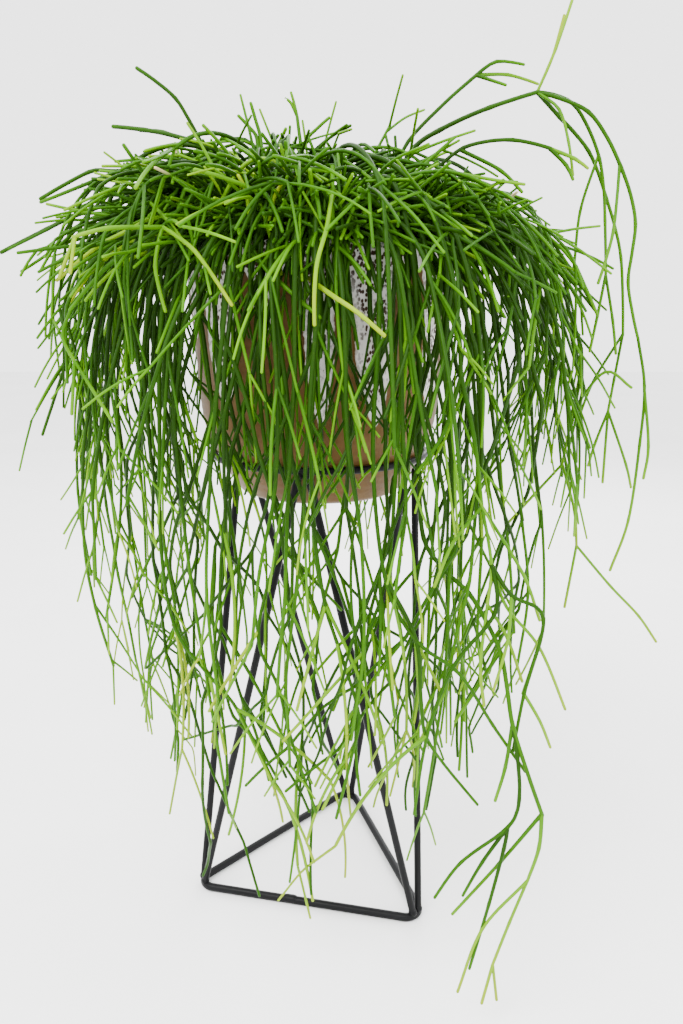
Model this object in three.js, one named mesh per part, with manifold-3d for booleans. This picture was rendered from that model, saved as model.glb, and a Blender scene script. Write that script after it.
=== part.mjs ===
// A trailing mistletoe cactus in a glazed clay pot, held in the ring of a black wire plant stand.
// Millimetres, +Z up, the stand on z = 0. The pot's axis is the design axis of every piece below.
import * as THREE from "three";
import { mergeVertices } from "three/addons/utils/BufferGeometryUtils.js";
import Module from "manifold-3d";

const wasm = await Module();
wasm.setup();

// Clearance between pieces that touch.
const seatGap = 0.3;

// Wire stand: a bent triangle on the floor, six straight rods and a ring that carries the pot.
const ringRadius = 100;
const ringHeight = 452.5;
const ringWire = 6.5;
const baseRadius = 140.8;
const baseWire = 8;
const baseBend = 13;
const rodWire = 7;
const rodsApart = 7.9;
const cornerTurn = -42.9;
const topTurn = 6.2;
const wireSides = 8;

// Pot: a round-bottomed tapered shell.
const potFoot = 417;
const potRim = 640;
const potWall = 7;
const potSides = 28;
const potOutline = [
  [70, potFoot],
  [76, 420],
  [83, 429],
  [90.5, 441],
  [96.6, 453.6],
  [103, 468],
  [108.2, 484],
  [111.5, 512],
  [113.4, 548],
  [116.3, 590],
  [119.4, 630],
  [119.6, 636],
  [117.6, potRim],
];

// Potting mix that fills the pot to a little under its rim.
const soilTop = 616;
const holeDepth = 30;

// Stems: four-sided where they are thick, three-sided where they are thin.
const crownSides = 6;
const crownRadius = 4.6;
const crownHeight = 7;
const rootShift = 2.2;
const thickStem = 2.35;
const sideStem = 1.55;
const hangingStem = 1.75;
const youngStem = 1.35;
const stemTip = 1.15;
const drawnRadii = [thickStem, hangingStem, youngStem];
const threeSidedGrowth = 1.22;
const fourSidedGrowth = 1.05;

// Growth: internodes arch out of the crown, then hang and zigzag from node to node.
const arching = { length: [88, 120], steps: 4 };
const hanging = { length: [62, 98], steps: 2, bend: 0.006 };
const drapedArching = { length: [84, 108], steps: 3 };
const drapedHanging = { length: [58, 90], steps: 1, bend: 0.006 };
const firstKink = [0, 5];
const laterKink = [4, 15];
const kinksTried = 10;
const fewestPoints = 9;
const sideShoot = { angle: [18, 42], length: [48, 96], bend: [0.002, 0.007], steps: 2, turnJitter: 0.4 };
const forkedShare = 0.36;
const forkedLength = 0.72;
const sideShare = 0.85;
const nodeSink = 2.5;
const nodeStep = 5;
const growthSeed = 11;

// Room kept between stems, and round the pot, the stand and the floor.
const stemClearance = 0.6;
const markSpacing = 5;
const forkReach = 26;
const lowestShoot = 9;
const lowestTip = 60;
const farthestTip = 285;
const innerReach = 150;
const outerRise = 3.6;
const soilClearance = 9;
const rimClearance = 14;
const rimApproach = 78;
const rimPassed = 132;
const ringClearance = 10;
const potClearance = 7;
const rodsTopReach = 111;
const rodsFootReach = 155;

const degrees = (angle) => (angle * Math.PI) / 180;
const point = (x, y, z) => new THREE.Vector3(x, y, z);
const around = (radius, angle, z) =>
  point(radius * Math.cos(degrees(angle)), radius * Math.sin(degrees(angle)), z);
const up = point(0, 0, 1);
const halfTurn = 180;
const fullTurn = 360;
// Angle between two directions, in degrees.
const turnBetween = (a, b) => Math.abs(((a - b + fullTurn + halfTurn) % fullTurn) - halfTurn);

const finish = {
  wire: new THREE.MeshStandardMaterial({ color: 0x151515, roughness: 0.42, metalness: 0.6 }),
  glaze: new THREE.MeshStandardMaterial({ color: 0xa67f62, roughness: 0.5, metalness: 0 }),
  soil: new THREE.MeshStandardMaterial({ color: 0x2c2019, roughness: 0.95, metalness: 0 }),
  stem: new THREE.MeshStandardMaterial({ color: 0x3f7d1c, roughness: 0.5, metalness: 0 }),
};

// Joins rings of equal point counts into one closed skin, capped at its ends or closed on itself.
function skin(rings, closesOnItself = false) {
  const sides = rings[0].length;
  const faces = [];
  const spans = closesOnItself ? rings.length : rings.length - 1;
  for (let i = 0; i < spans; i++) {
    const here = i * sides;
    const next = ((i + 1) % rings.length) * sides;
    for (let k = 0; k < sides; k++) {
      const turn = (k + 1) % sides;
      faces.push(here + k, here + turn, next + turn, here + k, next + turn, next + k);
    }
  }
  if (!closesOnItself) {
    const last = (rings.length - 1) * sides;
    for (let k = 1; k < sides - 1; k++) {
      faces.push(0, k + 1, k, last, last + k, last + k + 1);
    }
  }
  return meshOf(rings.flat(), faces);
}

// The same, but starting in a single point, as a stem does inside the one that it grows from.
function pointedSkin(tip, rings) {
  const sides = rings[0].length;
  const last = (rings.length - 1) * sides;
  const faces = [];
  for (let k = 0; k < sides; k++) {
    const turn = (k + 1) % sides;
    faces.push(rings.length * sides, turn, k);
    for (let here = 0; here < last; here += sides) {
      const next = here + sides;
      faces.push(here + k, here + turn, next + turn, here + k, next + turn, next + k);
    }
  }
  for (let k = 1; k < sides - 1; k++) {
    faces.push(last, last + k, last + k + 1);
  }
  return meshOf(rings.flat().concat([tip]), faces);
}

function meshOf(points, faces) {
  const geometry = new THREE.BufferGeometry();
  const positions = points.flatMap((p) => [p.x, p.y, p.z]);
  geometry.setAttribute("position", new THREE.Float32BufferAttribute(positions, 3));
  geometry.setIndex(faces);
  return geometry;
}

// A ring of points round a centre, in the plane of two directions.
function ringOfPoints(centre, across, along, radius, sides, turn = 0) {
  return Array.from({ length: sides }, (_, k) => {
    const angle = turn + (2 * Math.PI * k) / sides;
    return centre
      .clone()
      .addScaledVector(across, radius * Math.cos(angle))
      .addScaledVector(along, radius * Math.sin(angle));
  });
}

// A flat wire loop through points that run anticlockwise seen from above.
// The wire's section has a flat facet below and above.
function wireLoop(centres, diameter) {
  const radius = diameter / 2 / Math.cos(Math.PI / wireSides);
  const rings = centres.map((centre, i) => {
    const before = centres[(i + centres.length - 1) % centres.length];
    const after = centres[(i + 1) % centres.length];
    const outward = after.clone().sub(before).normalize().cross(up);
    return ringOfPoints(centre, up, outward, radius, wireSides, Math.PI / wireSides);
  });
  return skin(rings, true);
}

// Centre line of the base triangle, with an arc of a few steps at each bent corner.
function baseLine() {
  const steps = 5;
  const setBack = baseRadius - 2 * baseBend;
  const centres = [];
  for (let corner = 0; corner < 3; corner++) {
    const middle = cornerTurn + 120 * corner;
    const hub = around(setBack, middle, baseWire / 2);
    for (let i = 0; i <= steps; i++) {
      const angle = middle - 60 + (120 * i) / steps;
      centres.push(hub.clone().add(around(baseBend, angle, 0)));
    }
  }
  return centres;
}

// A straight rod between two heights, cut level at both ends to sit flat on the wire.
function rod(foot, head) {
  const turn = Math.PI / wireSides;
  const slant = 1.02;
  const radius = (slant * rodWire) / 2 / Math.cos(turn);
  const section = (end) => ringOfPoints(end, point(1, 0, 0), point(0, 1, 0), radius, wireSides, turn);
  return skin([foot, head].map(section));
}

// Six rods: each base corner sends one to the ring on its left and one on its right.
function rods() {
  const made = [];
  const names = ["right", "back", "left"];
  const footHeight = baseWire + seatGap;
  const headHeight = ringHeight - ringWire / 2 - seatGap;
  const cornerReach = baseRadius - baseBend;
  for (let corner = 0; corner < 3; corner++) {
    for (const side of [-1, 1]) {
      const footAngle = cornerTurn + 120 * corner;
      const headAngle = footAngle + 60 * side + topTurn;
      const aside = (side * rodsApart) / 2;
      const foot = around(cornerReach, footAngle, footHeight).add(around(aside, footAngle + 90, 0));
      const head = around(ringRadius, headAngle, headHeight).add(around(-aside, headAngle + 90, 0));
      made.push([`stand_rod_${names[corner]}_${side < 0 ? "a" : "b"}`, rod(foot, head)]);
    }
  }
  return made;
}

// Radius at a height on an outline that runs upwards.
function radiusAt(outline, z) {
  const i = Math.max(1, outline.findIndex(([, height]) => z <= height));
  const [radius, height] = outline[i];
  const [radiusBelow, heightBelow] = outline[i - 1];
  return radiusBelow + ((radius - radiusBelow) * (z - heightBelow)) / (height - heightBelow);
}

function lathe(profile) {
  const geometry = new THREE.LatheGeometry(
    profile.map(([radius, z]) => new THREE.Vector2(radius, z)),
    potSides,
  );
  geometry.rotateX(Math.PI / 2);
  return geometry;
}

// The pot's inner face keeps the wall's thickness inside the outer one, above a thick floor.
const potFloor = potFoot + potWall + 2;
const lipDrop = 4;
const liningHeights = [452, 484, 548, potRim - lipDrop];
const potLining = liningHeights.map((z) => [radiusAt(potOutline, z) - potWall, z]);
potLining.unshift([70, potFloor]);

function potInside(inset, top) {
  const below = potLining.filter(([, z]) => z < top).map(([radius, z]) => [radius - inset, z]);
  below[0][1] += inset;
  const topPoint = [radiusAt(potLining, top) - inset, top];
  return [[0, potFloor + inset]].concat(below, [topPoint]);
}

function pot() {
  const outside = [[0, potFoot]].concat(potOutline);
  const inside = potInside(0, potRim - lipDrop).reverse();
  const lip = [[potOutline.at(-1)[0] - lipDrop, potRim]];
  return lathe(outside.concat(lip, inside));
}

// Seeded random numbers, the same every time the part is built.
function seededRandom(seed) {
  let state = seed >>> 0;
  return () => {
    state = (state + 0x6d2b79f5) >>> 0;
    let t = state;
    t = Math.imul(t ^ (t >>> 15), t | 1);
    t ^= t + Math.imul(t ^ (t >>> 7), t | 61);
    return ((t ^ (t >>> 14)) >>> 0) / 4294967296;
  };
}

const random = seededRandom(growthSeed);
const between = (low, high) => low + (high - low) * random();

// Marks left along every stem, so that the stems of one spray keep clear of the others.
const marks = [];

function marksAlong(points) {
  const found = [];
  for (let i = 1; i < points.length; i++) {
    const count = Math.max(1, Math.ceil(points[i].distanceTo(points[i - 1]) / markSpacing));
    for (let k = 0; k < count; k++) {
      found.push(points[i - 1].clone().lerp(points[i], k / count));
    }
  }
  found.push(points.at(-1).clone());
  return found;
}

function isClear(points, radius, spray) {
  const sampling = (markSpacing * markSpacing) / 2;
  for (const mark of marksAlong(points)) {
    const nearFork = mark.distanceTo(points[0]) < forkReach;
    for (const other of marks) {
      if (other.spray !== spray || !nearFork) {
        const reach = radius + other.radius + stemClearance;
        if (mark.distanceToSquared(other.place) < reach * reach + sampling) {
          return false;
        }
      }
    }
  }
  return true;
}

function leaveMarks(points, radius, spray) {
  for (const place of marksAlong(points)) {
    marks.push({ place, radius, spray });
  }
}

// Least distance from the axis for a stem that hangs outside the pot, the ring and the rods.
function keepOut(z) {
  const ringTop = ringHeight + ringClearance;
  const ringFoot = ringHeight - ringClearance;
  if (z > potRim + potClearance) {
    return 0;
  }
  if (z > ringTop) {
    return radiusAt(potOutline, Math.min(z, potRim - lipDrop)) + potClearance;
  }
  if (z > ringFoot) {
    return rodsTopReach;
  }
  return rodsTopReach + ((rodsFootReach - rodsTopReach) * (ringFoot - z)) / ringFoot;
}

// Keeps a new point over the soil and the rim on its way out, and outside once it has passed.
function settled(place, way) {
  const distance = Math.hypot(place.x, place.y);
  if (!way.over) {
    const lowest = distance > rimApproach ? potRim + rimClearance : soilTop + soilClearance;
    place.z = Math.max(place.z, lowest);
    way.over = distance > rimPassed;
    return place;
  }
  const least = keepOut(place.z);
  if (distance < least) {
    place.x *= least / distance;
    place.y *= least / distance;
  }
  return place;
}

// One internode: a run of short steps that gravity bends down.
function internode(start, direction, length, steps, bend, way) {
  const points = [];
  const step = length / steps;
  let place = start;
  let heading = direction;
  for (let i = 0; i < steps; i++) {
    heading = heading.clone().addScaledVector(up, -bend * step).normalize();
    const next = settled(place.clone().addScaledVector(heading, step), way);
    heading = next.clone().sub(place).normalize();
    points.push(next);
    place = next;
  }
  return { points, heading };
}

// A direction tipped away from another by an angle, towards a turn around it.
function tipped(direction, angle, turn) {
  const level = Math.abs(direction.z) > 0.95 ? point(1, 0, 0) : up;
  const side = direction.clone().cross(level).normalize();
  const over = direction.clone().cross(side);
  return direction
    .clone()
    .multiplyScalar(Math.cos(angle))
    .addScaledVector(side, Math.sin(angle) * Math.cos(turn))
    .addScaledVector(over, Math.sin(angle) * Math.sin(turn));
}

// Stems that hang far out from the pot end higher up.
function inReach(path, lowest) {
  return path.every((p) => {
    const away = Math.hypot(p.x, p.y);
    return away < farthestTip && p.z > lowest + outerRise * Math.max(0, away - innerReach);
  });
}

// Side shoots in a whorl at a node of a stem, with shorter ones at the ends of some.
function whorl(spray, node, heading, count, isYoung, over) {
  const start = between(0, 2 * Math.PI);
  for (let i = 0; i < count; i++) {
    const way = { over };
    const turn = start + (2 * Math.PI * i) / count + between(-sideShoot.turnJitter, sideShoot.turnJitter);
    const direction = tipped(heading, degrees(between(...sideShoot.angle)), turn);
    const length = between(...sideShoot.length) * (isYoung ? forkedLength : 1);
    const root = node.clone().addScaledVector(heading, -nodeSink - nodeStep * i);
    const run = internode(root, direction, length, sideShoot.steps, between(...sideShoot.bend), way);
    const path = [root].concat(run.points);
    const radius = isYoung ? youngStem : sideStem;
    if (inReach(path, lowestShoot) && isClear(path, radius * threeSidedGrowth, spray.name)) {
      leaveMarks(path, radius * threeSidedGrowth, spray.name);
      spray.stems.push({ points: path, first: radius, last: stemTip, sides: 3 });
      if (!isYoung) {
        const forks = random() < forkedShare ? 2 : 0;
        whorl(spray, run.points.at(-1), run.heading, forks, true, way.over);
      }
    }
  }
}

// Tries kinked directions for the next internode of a long stem until one is clear.
function nextInternode(spray, plan, from, heading, travelled, over) {
  const isArching = travelled < plan.archLength;
  const kind = isArching ? plan.arching : plan.hanging;
  const length = between(...kind.length);
  const bend = isArching ? plan.bend : kind.bend;
  const radius = thickStem * threeSidedGrowth;
  for (let attempt = 0; attempt < kinksTried; attempt++) {
    const way = { over };
    const kink = between(...(travelled === 0 ? firstKink : laterKink));
    const direction = tipped(heading, degrees(kink), between(0, 2 * Math.PI));
    const run = internode(from, direction, length, kind.steps, bend, way);
    if (inReach(run.points, lowestTip) && isClear([from].concat(run.points), radius, spray.name)) {
      return { ...run, length, over: way.over };
    }
  }
  return null;
}

// A long stem: up out of the crown, over the rim and down, with a node at each internode's end.
function longStem(spray, plan) {
  const path = [spray.start.clone().add(around(rootShift, plan.towards, 0))];
  const nodes = [];
  let heading = around(Math.cos(degrees(plan.rise)), plan.towards, Math.sin(degrees(plan.rise)));
  let over = false;
  let travelled = 0;
  while (travelled < plan.length) {
    const run = nextInternode(spray, plan, path.at(-1), heading, travelled, over);
    if (!run) {
      break;
    }
    path.push(...run.points);
    heading = run.heading;
    over = run.over;
    travelled += run.length;
    nodes.push({ place: path.at(-1), heading, over });
  }
  if (path.length < fewestPoints) {
    return false;
  }
  leaveMarks(path, thickStem * threeSidedGrowth, spray.name);
  spray.stems.push({ points: path, first: thickStem, last: hangingStem, sides: 3 });
  nodes.forEach((node, i) => {
    const isLast = i === nodes.length - 1;
    const count = isLast ? 2 : random() < plan.sideShare ? 1 : 0;
    whorl(spray, node.place, node.heading, count, isLast, node.over);
  });
  return true;
}

// A smooth path through chosen points, with a few steps in each span.
function smoothPath(points, steps) {
  const path = [points[0].clone()];
  for (let i = 0; i + 1 < points.length; i++) {
    const [a, b] = [points[i], points[i + 1]];
    const before = i > 0 ? points[i - 1] : a;
    const after = i + 2 < points.length ? points[i + 2] : b;
    for (let k = 1; k <= steps; k++) {
      const t = k / steps;
      const place = new THREE.Vector3();
      place.addScaledVector(before, 0.5 * (-t + 2 * t * t - t * t * t));
      place.addScaledVector(a, 0.5 * (2 - 5 * t * t + 3 * t * t * t));
      place.addScaledVector(b, 0.5 * (t + 4 * t * t - 3 * t * t * t));
      place.addScaledVector(after, 0.5 * (-t * t + t * t * t));
      path.push(place);
    }
  }
  return path;
}

// A stem drawn through chosen places, and the ones that branch from it.
function drawnStem(spray, start, drawn, order) {
  const chosen = [start].concat(drawn.through.map(([x, y, z]) => point(x, y, z)));
  const steps = drawn.steps ?? 1;
  const path = smoothPath(chosen, steps);
  const first = drawn.thick ?? drawnRadii[Math.min(order, 2)];
  const last = Math.min(first, order > 0 ? youngStem : hangingStem);
  leaveMarks(path, first * threeSidedGrowth, spray.name);
  spray.stems.push({ points: path, first, last, sides: first > 2 ? 4 : 3 });
  for (const branch of drawn.branches ?? []) {
    const node = chosen[branch.at];
    const back = chosen[branch.at - 1].clone().sub(node).normalize();
    drawnStem(spray, node.clone().addScaledVector(back, nodeSink), branch, order + 1);
  }
}

// Tube of a tapered stem, kept from twisting along its path, with a pointed root and a blunt end.
function stemTube(stem) {
  const { points, sides } = stem;
  const growth = sides === 3 ? threeSidedGrowth : fourSidedGrowth;
  const rings = [];
  const start = points[1].clone().sub(points[0]).normalize();
  let normal = start.clone().cross(Math.abs(start.z) > 0.9 ? point(1, 0, 0) : up);
  for (let i = 1; i < points.length; i++) {
    const after = points[Math.min(i + 1, points.length - 1)];
    const tangent = after.clone().sub(points[i - 1]).normalize();
    normal = normal.clone().addScaledVector(tangent, -normal.dot(tangent)).normalize();
    const across = tangent.clone().cross(normal);
    const share = i / (points.length - 1);
    const radius = growth * (stem.first + (stem.last - stem.first) * share);
    rings.push(ringOfPoints(points[i], normal, across, radius, sides));
  }
  return pointedSkin(points[0], rings);
}

function solid(geometry) {
  const bare = geometry.clone();
  bare.deleteAttribute("normal");
  bare.deleteAttribute("uv");
  const merged = mergeVertices(bare, 1e-4);
  return new wasm.Manifold(
    new wasm.Mesh({
      numProp: 3,
      vertProperties: new Float32Array(merged.attributes.position.array),
      triVerts: new Uint32Array(merged.index.array),
    }),
  );
}

function geometryOf(manifold) {
  const mesh = manifold.getMesh();
  const geometry = new THREE.BufferGeometry();
  geometry.setAttribute("position", new THREE.BufferAttribute(mesh.vertProperties.slice(), 3));
  geometry.setIndex(new THREE.BufferAttribute(mesh.triVerts.slice(), 1));
  return geometry;
}

// Root crowns stand on two rings and at the centre of the soil.
const outerRoots = 14;
const innerRoots = 7;
const outerRootRadius = 66;
const innerRootRadius = 34;

function rootPlaces() {
  const places = [{ name: "spray_centre", towards: -90, radius: 0, ring: "centre" }];
  for (let i = 0; i < innerRoots; i++) {
    const towards = -90 + (360 * i) / innerRoots;
    places.push({ name: `spray_inner_${i + 1}`, towards, radius: innerRootRadius, ring: "inner" });
  }
  for (let i = 0; i < outerRoots; i++) {
    const towards = -90 + (360 * i) / outerRoots;
    places.push({ name: `spray_outer_${i + 1}`, towards, radius: outerRootRadius, ring: "outer" });
  }
  return places;
}

// Stems that give the plant its outline, each through places chosen by eye.
// The first place follows the root crown, and a branch starts at a numbered place of its parent.
const drawnStems = {
  spray_outer_4: [
    {
      thick: 2.5,
      steps: 2,
      through: [[67, -15, 668], [78, -17, 714], [104, -21, 734], [146, -28, 751], [186, -35, 762]],
      branches: [
        { at: 5, thick: 1.4, steps: 2, through: [[198, -30, 795], [212, -25, 838], [220, -22, 866]] },
        { at: 5, thick: 1.2, steps: 1, through: [[193, -40, 785], [201, -42, 818]] },
        { at: 5, thick: 1.3, steps: 1, through: [[200, -46, 746], [208, -52, 720], [213, -54, 693]] },
        {
          at: 5,
          thick: 1.8,
          steps: 2,
          through: [[224, -47, 744], [252, -55, 700], [266, -60, 655], [263, -62, 608], [275, -64, 560]],
          branches: [
            { at: 2, steps: 2, through: [[246, -66, 648], [234, -74, 606]] },
            {
              at: 5,
              steps: 1,
              through: [[283, -66, 520], [283, -66, 470], [280, -62, 400], [268, -58, 350]],
              branches: [{ at: 1, through: [[288, -74, 470], [286, -74, 440]] }],
            },
          ],
        },
        {
          at: 5,
          thick: 1.8,
          steps: 2,
          through: [[214, -36, 752], [240, -32, 710], [249, -30, 660], [252, -34, 612]],
          branches: [
            {
              at: 2,
              steps: 1,
              through: [
                [228, -26, 668], [226, -24, 620], [222, -22, 590],
                [238, -22, 545], [233, -24, 492], [226, -26, 442],
              ],
              branches: [
                { at: 5, through: [[258, -32, 530], [282, -38, 516]] },
                { at: 6, through: [[198, -36, 416], [175, -45, 393]] },
                {
                  at: 6,
                  through: [[240, -28, 400], [244, -30, 364]],
                  branches: [
                    { at: 2, through: [[235, -34, 305]] },
                    { at: 2, through: [[280, -24, 325], [312, -20, 292], [334, -16, 262]] },
                  ],
                },
              ],
            },
            { at: 4, through: [[246, -38, 580], [240, -42, 548]] },
            { at: 4, through: [[262, -30, 576], [268, -28, 545]] },
          ],
        },
        {
          at: 5,
          thick: 1.9,
          steps: 2,
          through: [[206, -24, 744], [234, -18, 718], [254, -12, 680], [272, -8, 630], [280, -6, 560]],
          branches: [
            { at: 5, through: [[256, -6, 520], [243, -8, 483]] },
            {
              at: 5,
              through: [[276, -2, 520], [273, 0, 488]],
              branches: [
                { at: 2, through: [[264, 2, 460], [259, 4, 436]] },
                { at: 2, through: [[275, 6, 419]] },
                { at: 2, through: [[294, 0, 440], [302, 2, 415]] },
              ],
            },
          ],
        },
      ],
    },
  ],
  spray_outer_5: [
    {
      thick: 1.7,
      steps: 2,
      through: [[66, 14, 675], [80, 12, 730], [142, 20, 788]],
      branches: [
        { at: 3, steps: 2, through: [[158, 22, 798], [184, 25, 796]] },
        { at: 3, steps: 2, through: [[170, 30, 789], [199, 34, 782]] },
        { at: 3, through: [[166, 10, 776]] },
      ],
    },
  ],
  spray_outer_3: [
    {
      thick: 1.6,
      steps: 2,
      through: [[70, -52, 660], [92, -58, 690], [120, -62, 714], [160, -62, 720], [193, -62, 713]],
      branches: [
        { at: 3, through: [[150, -68, 696], [168, -74, 678]] },
        { at: 5, through: [[212, -60, 706], [224, -60, 698]] },
        { at: 5, through: [[204, -66, 700], [210, -68, 688]] },
      ],
    },
  ],
  spray_outer_13: [
    {
      thick: 2.2,
      steps: 2,
      through: [[-60, -58, 664], [-75, -88, 684], [-94, -120, 669], [-113, -148, 645]],
      branches: [
        {
          at: 4,
          thick: 1.8,
          steps: 2,
          through: [[-146, -172, 644], [-170, -180, 637]],
          branches: [
            { at: 2, through: [[-180, -184, 609]] },
            { at: 2, through: [[-170, -190, 612]] },
          ],
        },
        {
          at: 4,
          steps: 2,
          through: [[-150, -160, 619], [-180, -166, 586]],
          branches: [
            {
              at: 2,
              through: [[-186, -166, 568], [-177, -168, 548]],
              branches: [
                { at: 2, through: [[-182, -172, 510]] },
                { at: 2, through: [[-150, -176, 505]] },
              ],
            },
          ],
        },
        { at: 4, steps: 2, through: [[-116, -160, 618], [-109, -164, 585]] },
        { at: 4, steps: 2, through: [[-84, -174, 628], [-57, -186, 590]] },
      ],
    },
  ],
  spray_outer_12: [
    {
      thick: 1.9,
      steps: 2,
      through: [[-78, -16, 670], [-125, -20, 688], [-197, -32, 668], [-232, -42, 652], [-270, -52, 632]],
      branches: [{ at: 3, steps: 2, through: [[-214, -58, 640], [-246, -74, 616]] }],
    },
  ],
  spray_outer_11: [
    {
      thick: 1.8,
      steps: 2,
      through: [[-80, 16, 680], [-125, 12, 708], [-182, 8, 705], [-205, 5, 704], [-250, 0, 680]],
      branches: [{ at: 2, steps: 2, through: [[-160, 22, 716], [-188, 30, 716]] }],
    },
  ],
  spray_outer_14: [
    {
      thick: 2.1,
      steps: 2,
      through: [[-38, -68, 660], [-56, -90, 696], [-104, -62, 720], [-144, -42, 731], [-173, -34, 735]],
      branches: [
        { at: 2, through: [[-48, -106, 688], [-34, -118, 670]] },
        { at: 2, through: [[-58, -106, 690], [-56, -114, 676]] },
        { at: 2, steps: 2, through: [[-42, -128, 668], [-24, -150, 612]] },
      ],
    },
  ],
  spray_outer_10: [
    {
      thick: 1.8,
      steps: 2,
      through: [[-66, 40, 680], [-104, 26, 728], [-128, 22, 768], [-162, 20, 793]],
      branches: [{ at: 2, through: [[-142, 34, 742], [-166, 40, 744]] }],
    },
  ],
  spray_inner_1: [
    {
      thick: 2.5,
      steps: 2,
      through: [
        [4, -44, 668], [20, -66, 698], [50, -98, 701],
        [82, -138, 668], [102, -170, 606], [108, -184, 538],
      ],
      branches: [
        { at: 6, steps: 1, through: [[96, -188, 500], [76, -194, 470]] },
        {
          at: 6,
          thick: 2,
          steps: 1,
          through: [[118, -190, 496], [126, -192, 442]],
          branches: [
            { at: 2, through: [[104, -198, 418], [90, -202, 384]] },
            {
              at: 2,
              through: [[134, -194, 400], [132, -196, 366]],
              branches: [
                { at: 2, through: [[150, -190, 338], [164, -188, 300]] },
                { at: 2, through: [[128, -200, 320], [132, -202, 286]] },
              ],
            },
            { at: 2, through: [[160, -186, 390], [176, -184, 350]] },
          ],
        },
      ],
    },
  ],
  spray_outer_2: [
    {
      thick: 2.2,
      steps: 2,
      through: [
        [38, -80, 672], [58, -124, 682], [74, -150, 620], [80, -158, 520], [86, -156, 410],
        [120, -180, 372], [144, -198, 328], [154, -208, 272], [180, -214, 197],
      ],
      branches: [
        { at: 7, through: [[126, -188, 292], [112, -182, 262]] },
        { at: 8, through: [[150, -206, 236], [143, -206, 205]] },
        {
          at: 9,
          thick: 1.8,
          steps: 1,
          through: [[178, -216, 170], [170, -216, 138]],
          branches: [
            {
              at: 2,
              steps: 1,
              through: [[158, -214, 98], [146, -212, 54]],
              branches: [
                { at: 2, through: [[152, -210, 18]] },
                { at: 2, through: [[138, -216, 20]] },
              ],
            },
            { at: 2, steps: 1, through: [[136, -214, 92], [118, -212, 28]] },
          ],
        },
        { at: 9, steps: 1, through: [[150, -206, 150], [112, -204, 98]] },
      ],
    },
  ],
};

// Long stems by the ring that their root crown stands on: how many, how steeply they rise,
// how far they reach out, how far apart they fan and how long they grow.
const habit = {
  centre: { stems: 3, rise: [66, 84], reach: [150, 215], fan: 120, length: [330, 520] },
  inner: { stems: 3, rise: [66, 82], reach: [140, 200], fan: 26, length: [420, 640] },
  outer: { stems: 2, rise: [52, 76], reach: [95, 160], fan: 9, length: [380, 620] },
};
const fanJitter = 9;
const archAngle = 2.6;
const archShare = 1.25;
const plansTried = 8;
const drape = {
  stems: 1,
  rise: [50, 78],
  reach: [58, 150],
  fan: 26,
  length: [300, 520],
  sideShare: 0.2,
  plansTried: 120,
};

// In front and on the right, more and longer ones hang down past the stand.
const longDrape = { ...drape, stems: 4, length: [560, 840] };
const longDrapeMiddle = -75;
const longDrapeReach = 80;
const upright = { shoots: 8, lean: [15, 45], length: [90, 150], steps: 3, bend: 0.002, first: 2 };

function growLongStems(spray) {
  const how = habit[spray.ring];
  const count = drawnStems[spray.name] && spray.ring === "inner" ? how.stems - 1 : how.stems;
  for (let i = 0; i < count; i++) {
    const fan = how.fan * ((2 * i) / (count - 1) - 1);
    let grew = false;
    for (let attempt = 0; attempt < plansTried && !grew; attempt++) {
      const reach = between(...how.reach);
      grew = longStem(spray, {
        rise: between(...how.rise),
        towards: spray.towards + fan + between(-fanJitter, fanJitter),
        bend: archAngle / reach,
        archLength: reach * archShare,
        length: between(...how.length),
        arching,
        hanging,
        sideShare,
      });
    }
  }
}

// Stems of a crown that hang close to the pot and the stand, where the others leave room.
function growDrape(spray) {
  const fromMiddle = turnBetween(spray.towards, longDrapeMiddle);
  const habit = fromMiddle < longDrapeReach ? longDrape : drape;
  let grew = 0;
  for (let attempt = 0; attempt < habit.plansTried && grew < habit.stems; attempt++) {
    const reach = between(...habit.reach);
    const isGrown = longStem(spray, {
      rise: between(...habit.rise),
      towards: spray.towards + between(-habit.fan, habit.fan),
      bend: archAngle / reach,
      archLength: reach * archShare,
      length: between(...habit.length),
      arching: drapedArching,
      hanging: drapedHanging,
      sideShare: habit.sideShare,
    });
    grew += isGrown ? 1 : 0;
  }
}

// Short shoots that stand up out of the middle of the crown.
function growUprights(centre) {
  for (let i = 0; i < upright.shoots; i++) {
    const lean = degrees(between(...upright.lean));
    const towards = (360 * i) / upright.shoots + between(-15, 15);
    const direction = around(Math.sin(lean), towards, Math.cos(lean));
    const length = between(...upright.length);
    const root = centre.start.clone().add(around(rootShift, towards, 0));
    const run = internode(root, direction, length, upright.steps, upright.bend, { over: false });
    const path = [root].concat(run.points);
    if (isClear(path, upright.first * threeSidedGrowth, centre.name)) {
      leaveMarks(path, upright.first * threeSidedGrowth, centre.name);
      centre.stems.push({ points: path, first: upright.first, last: youngStem, sides: 3 });
      whorl(centre, path.at(-1), run.heading, 2, true, false);
    }
  }
}

function sprays() {
  const made = rootPlaces().map((root) => {
    const start = around(root.radius, root.towards, soilTop + 3);
    return { ...root, start, stems: [] };
  });
  for (const spray of made) {
    const below = spray.start.clone().setZ(soilTop - holeDepth);
    leaveMarks([below, spray.start], crownRadius, spray.name);
    for (const drawn of drawnStems[spray.name] ?? []) {
      drawnStem(spray, spray.start, drawn, 0);
    }
  }
  made.forEach(growLongStems);
  growUprights(made[0]);
  made.slice(1).forEach(growDrape);
  return made;
}

function crownPost(spray, radius, low, high) {
  const ends = [low, high].map((z) =>
    ringOfPoints(spray.start.clone().setZ(z), point(1, 0, 0), point(0, 1, 0), radius, crownSides),
  );
  return skin(ends);
}

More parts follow.
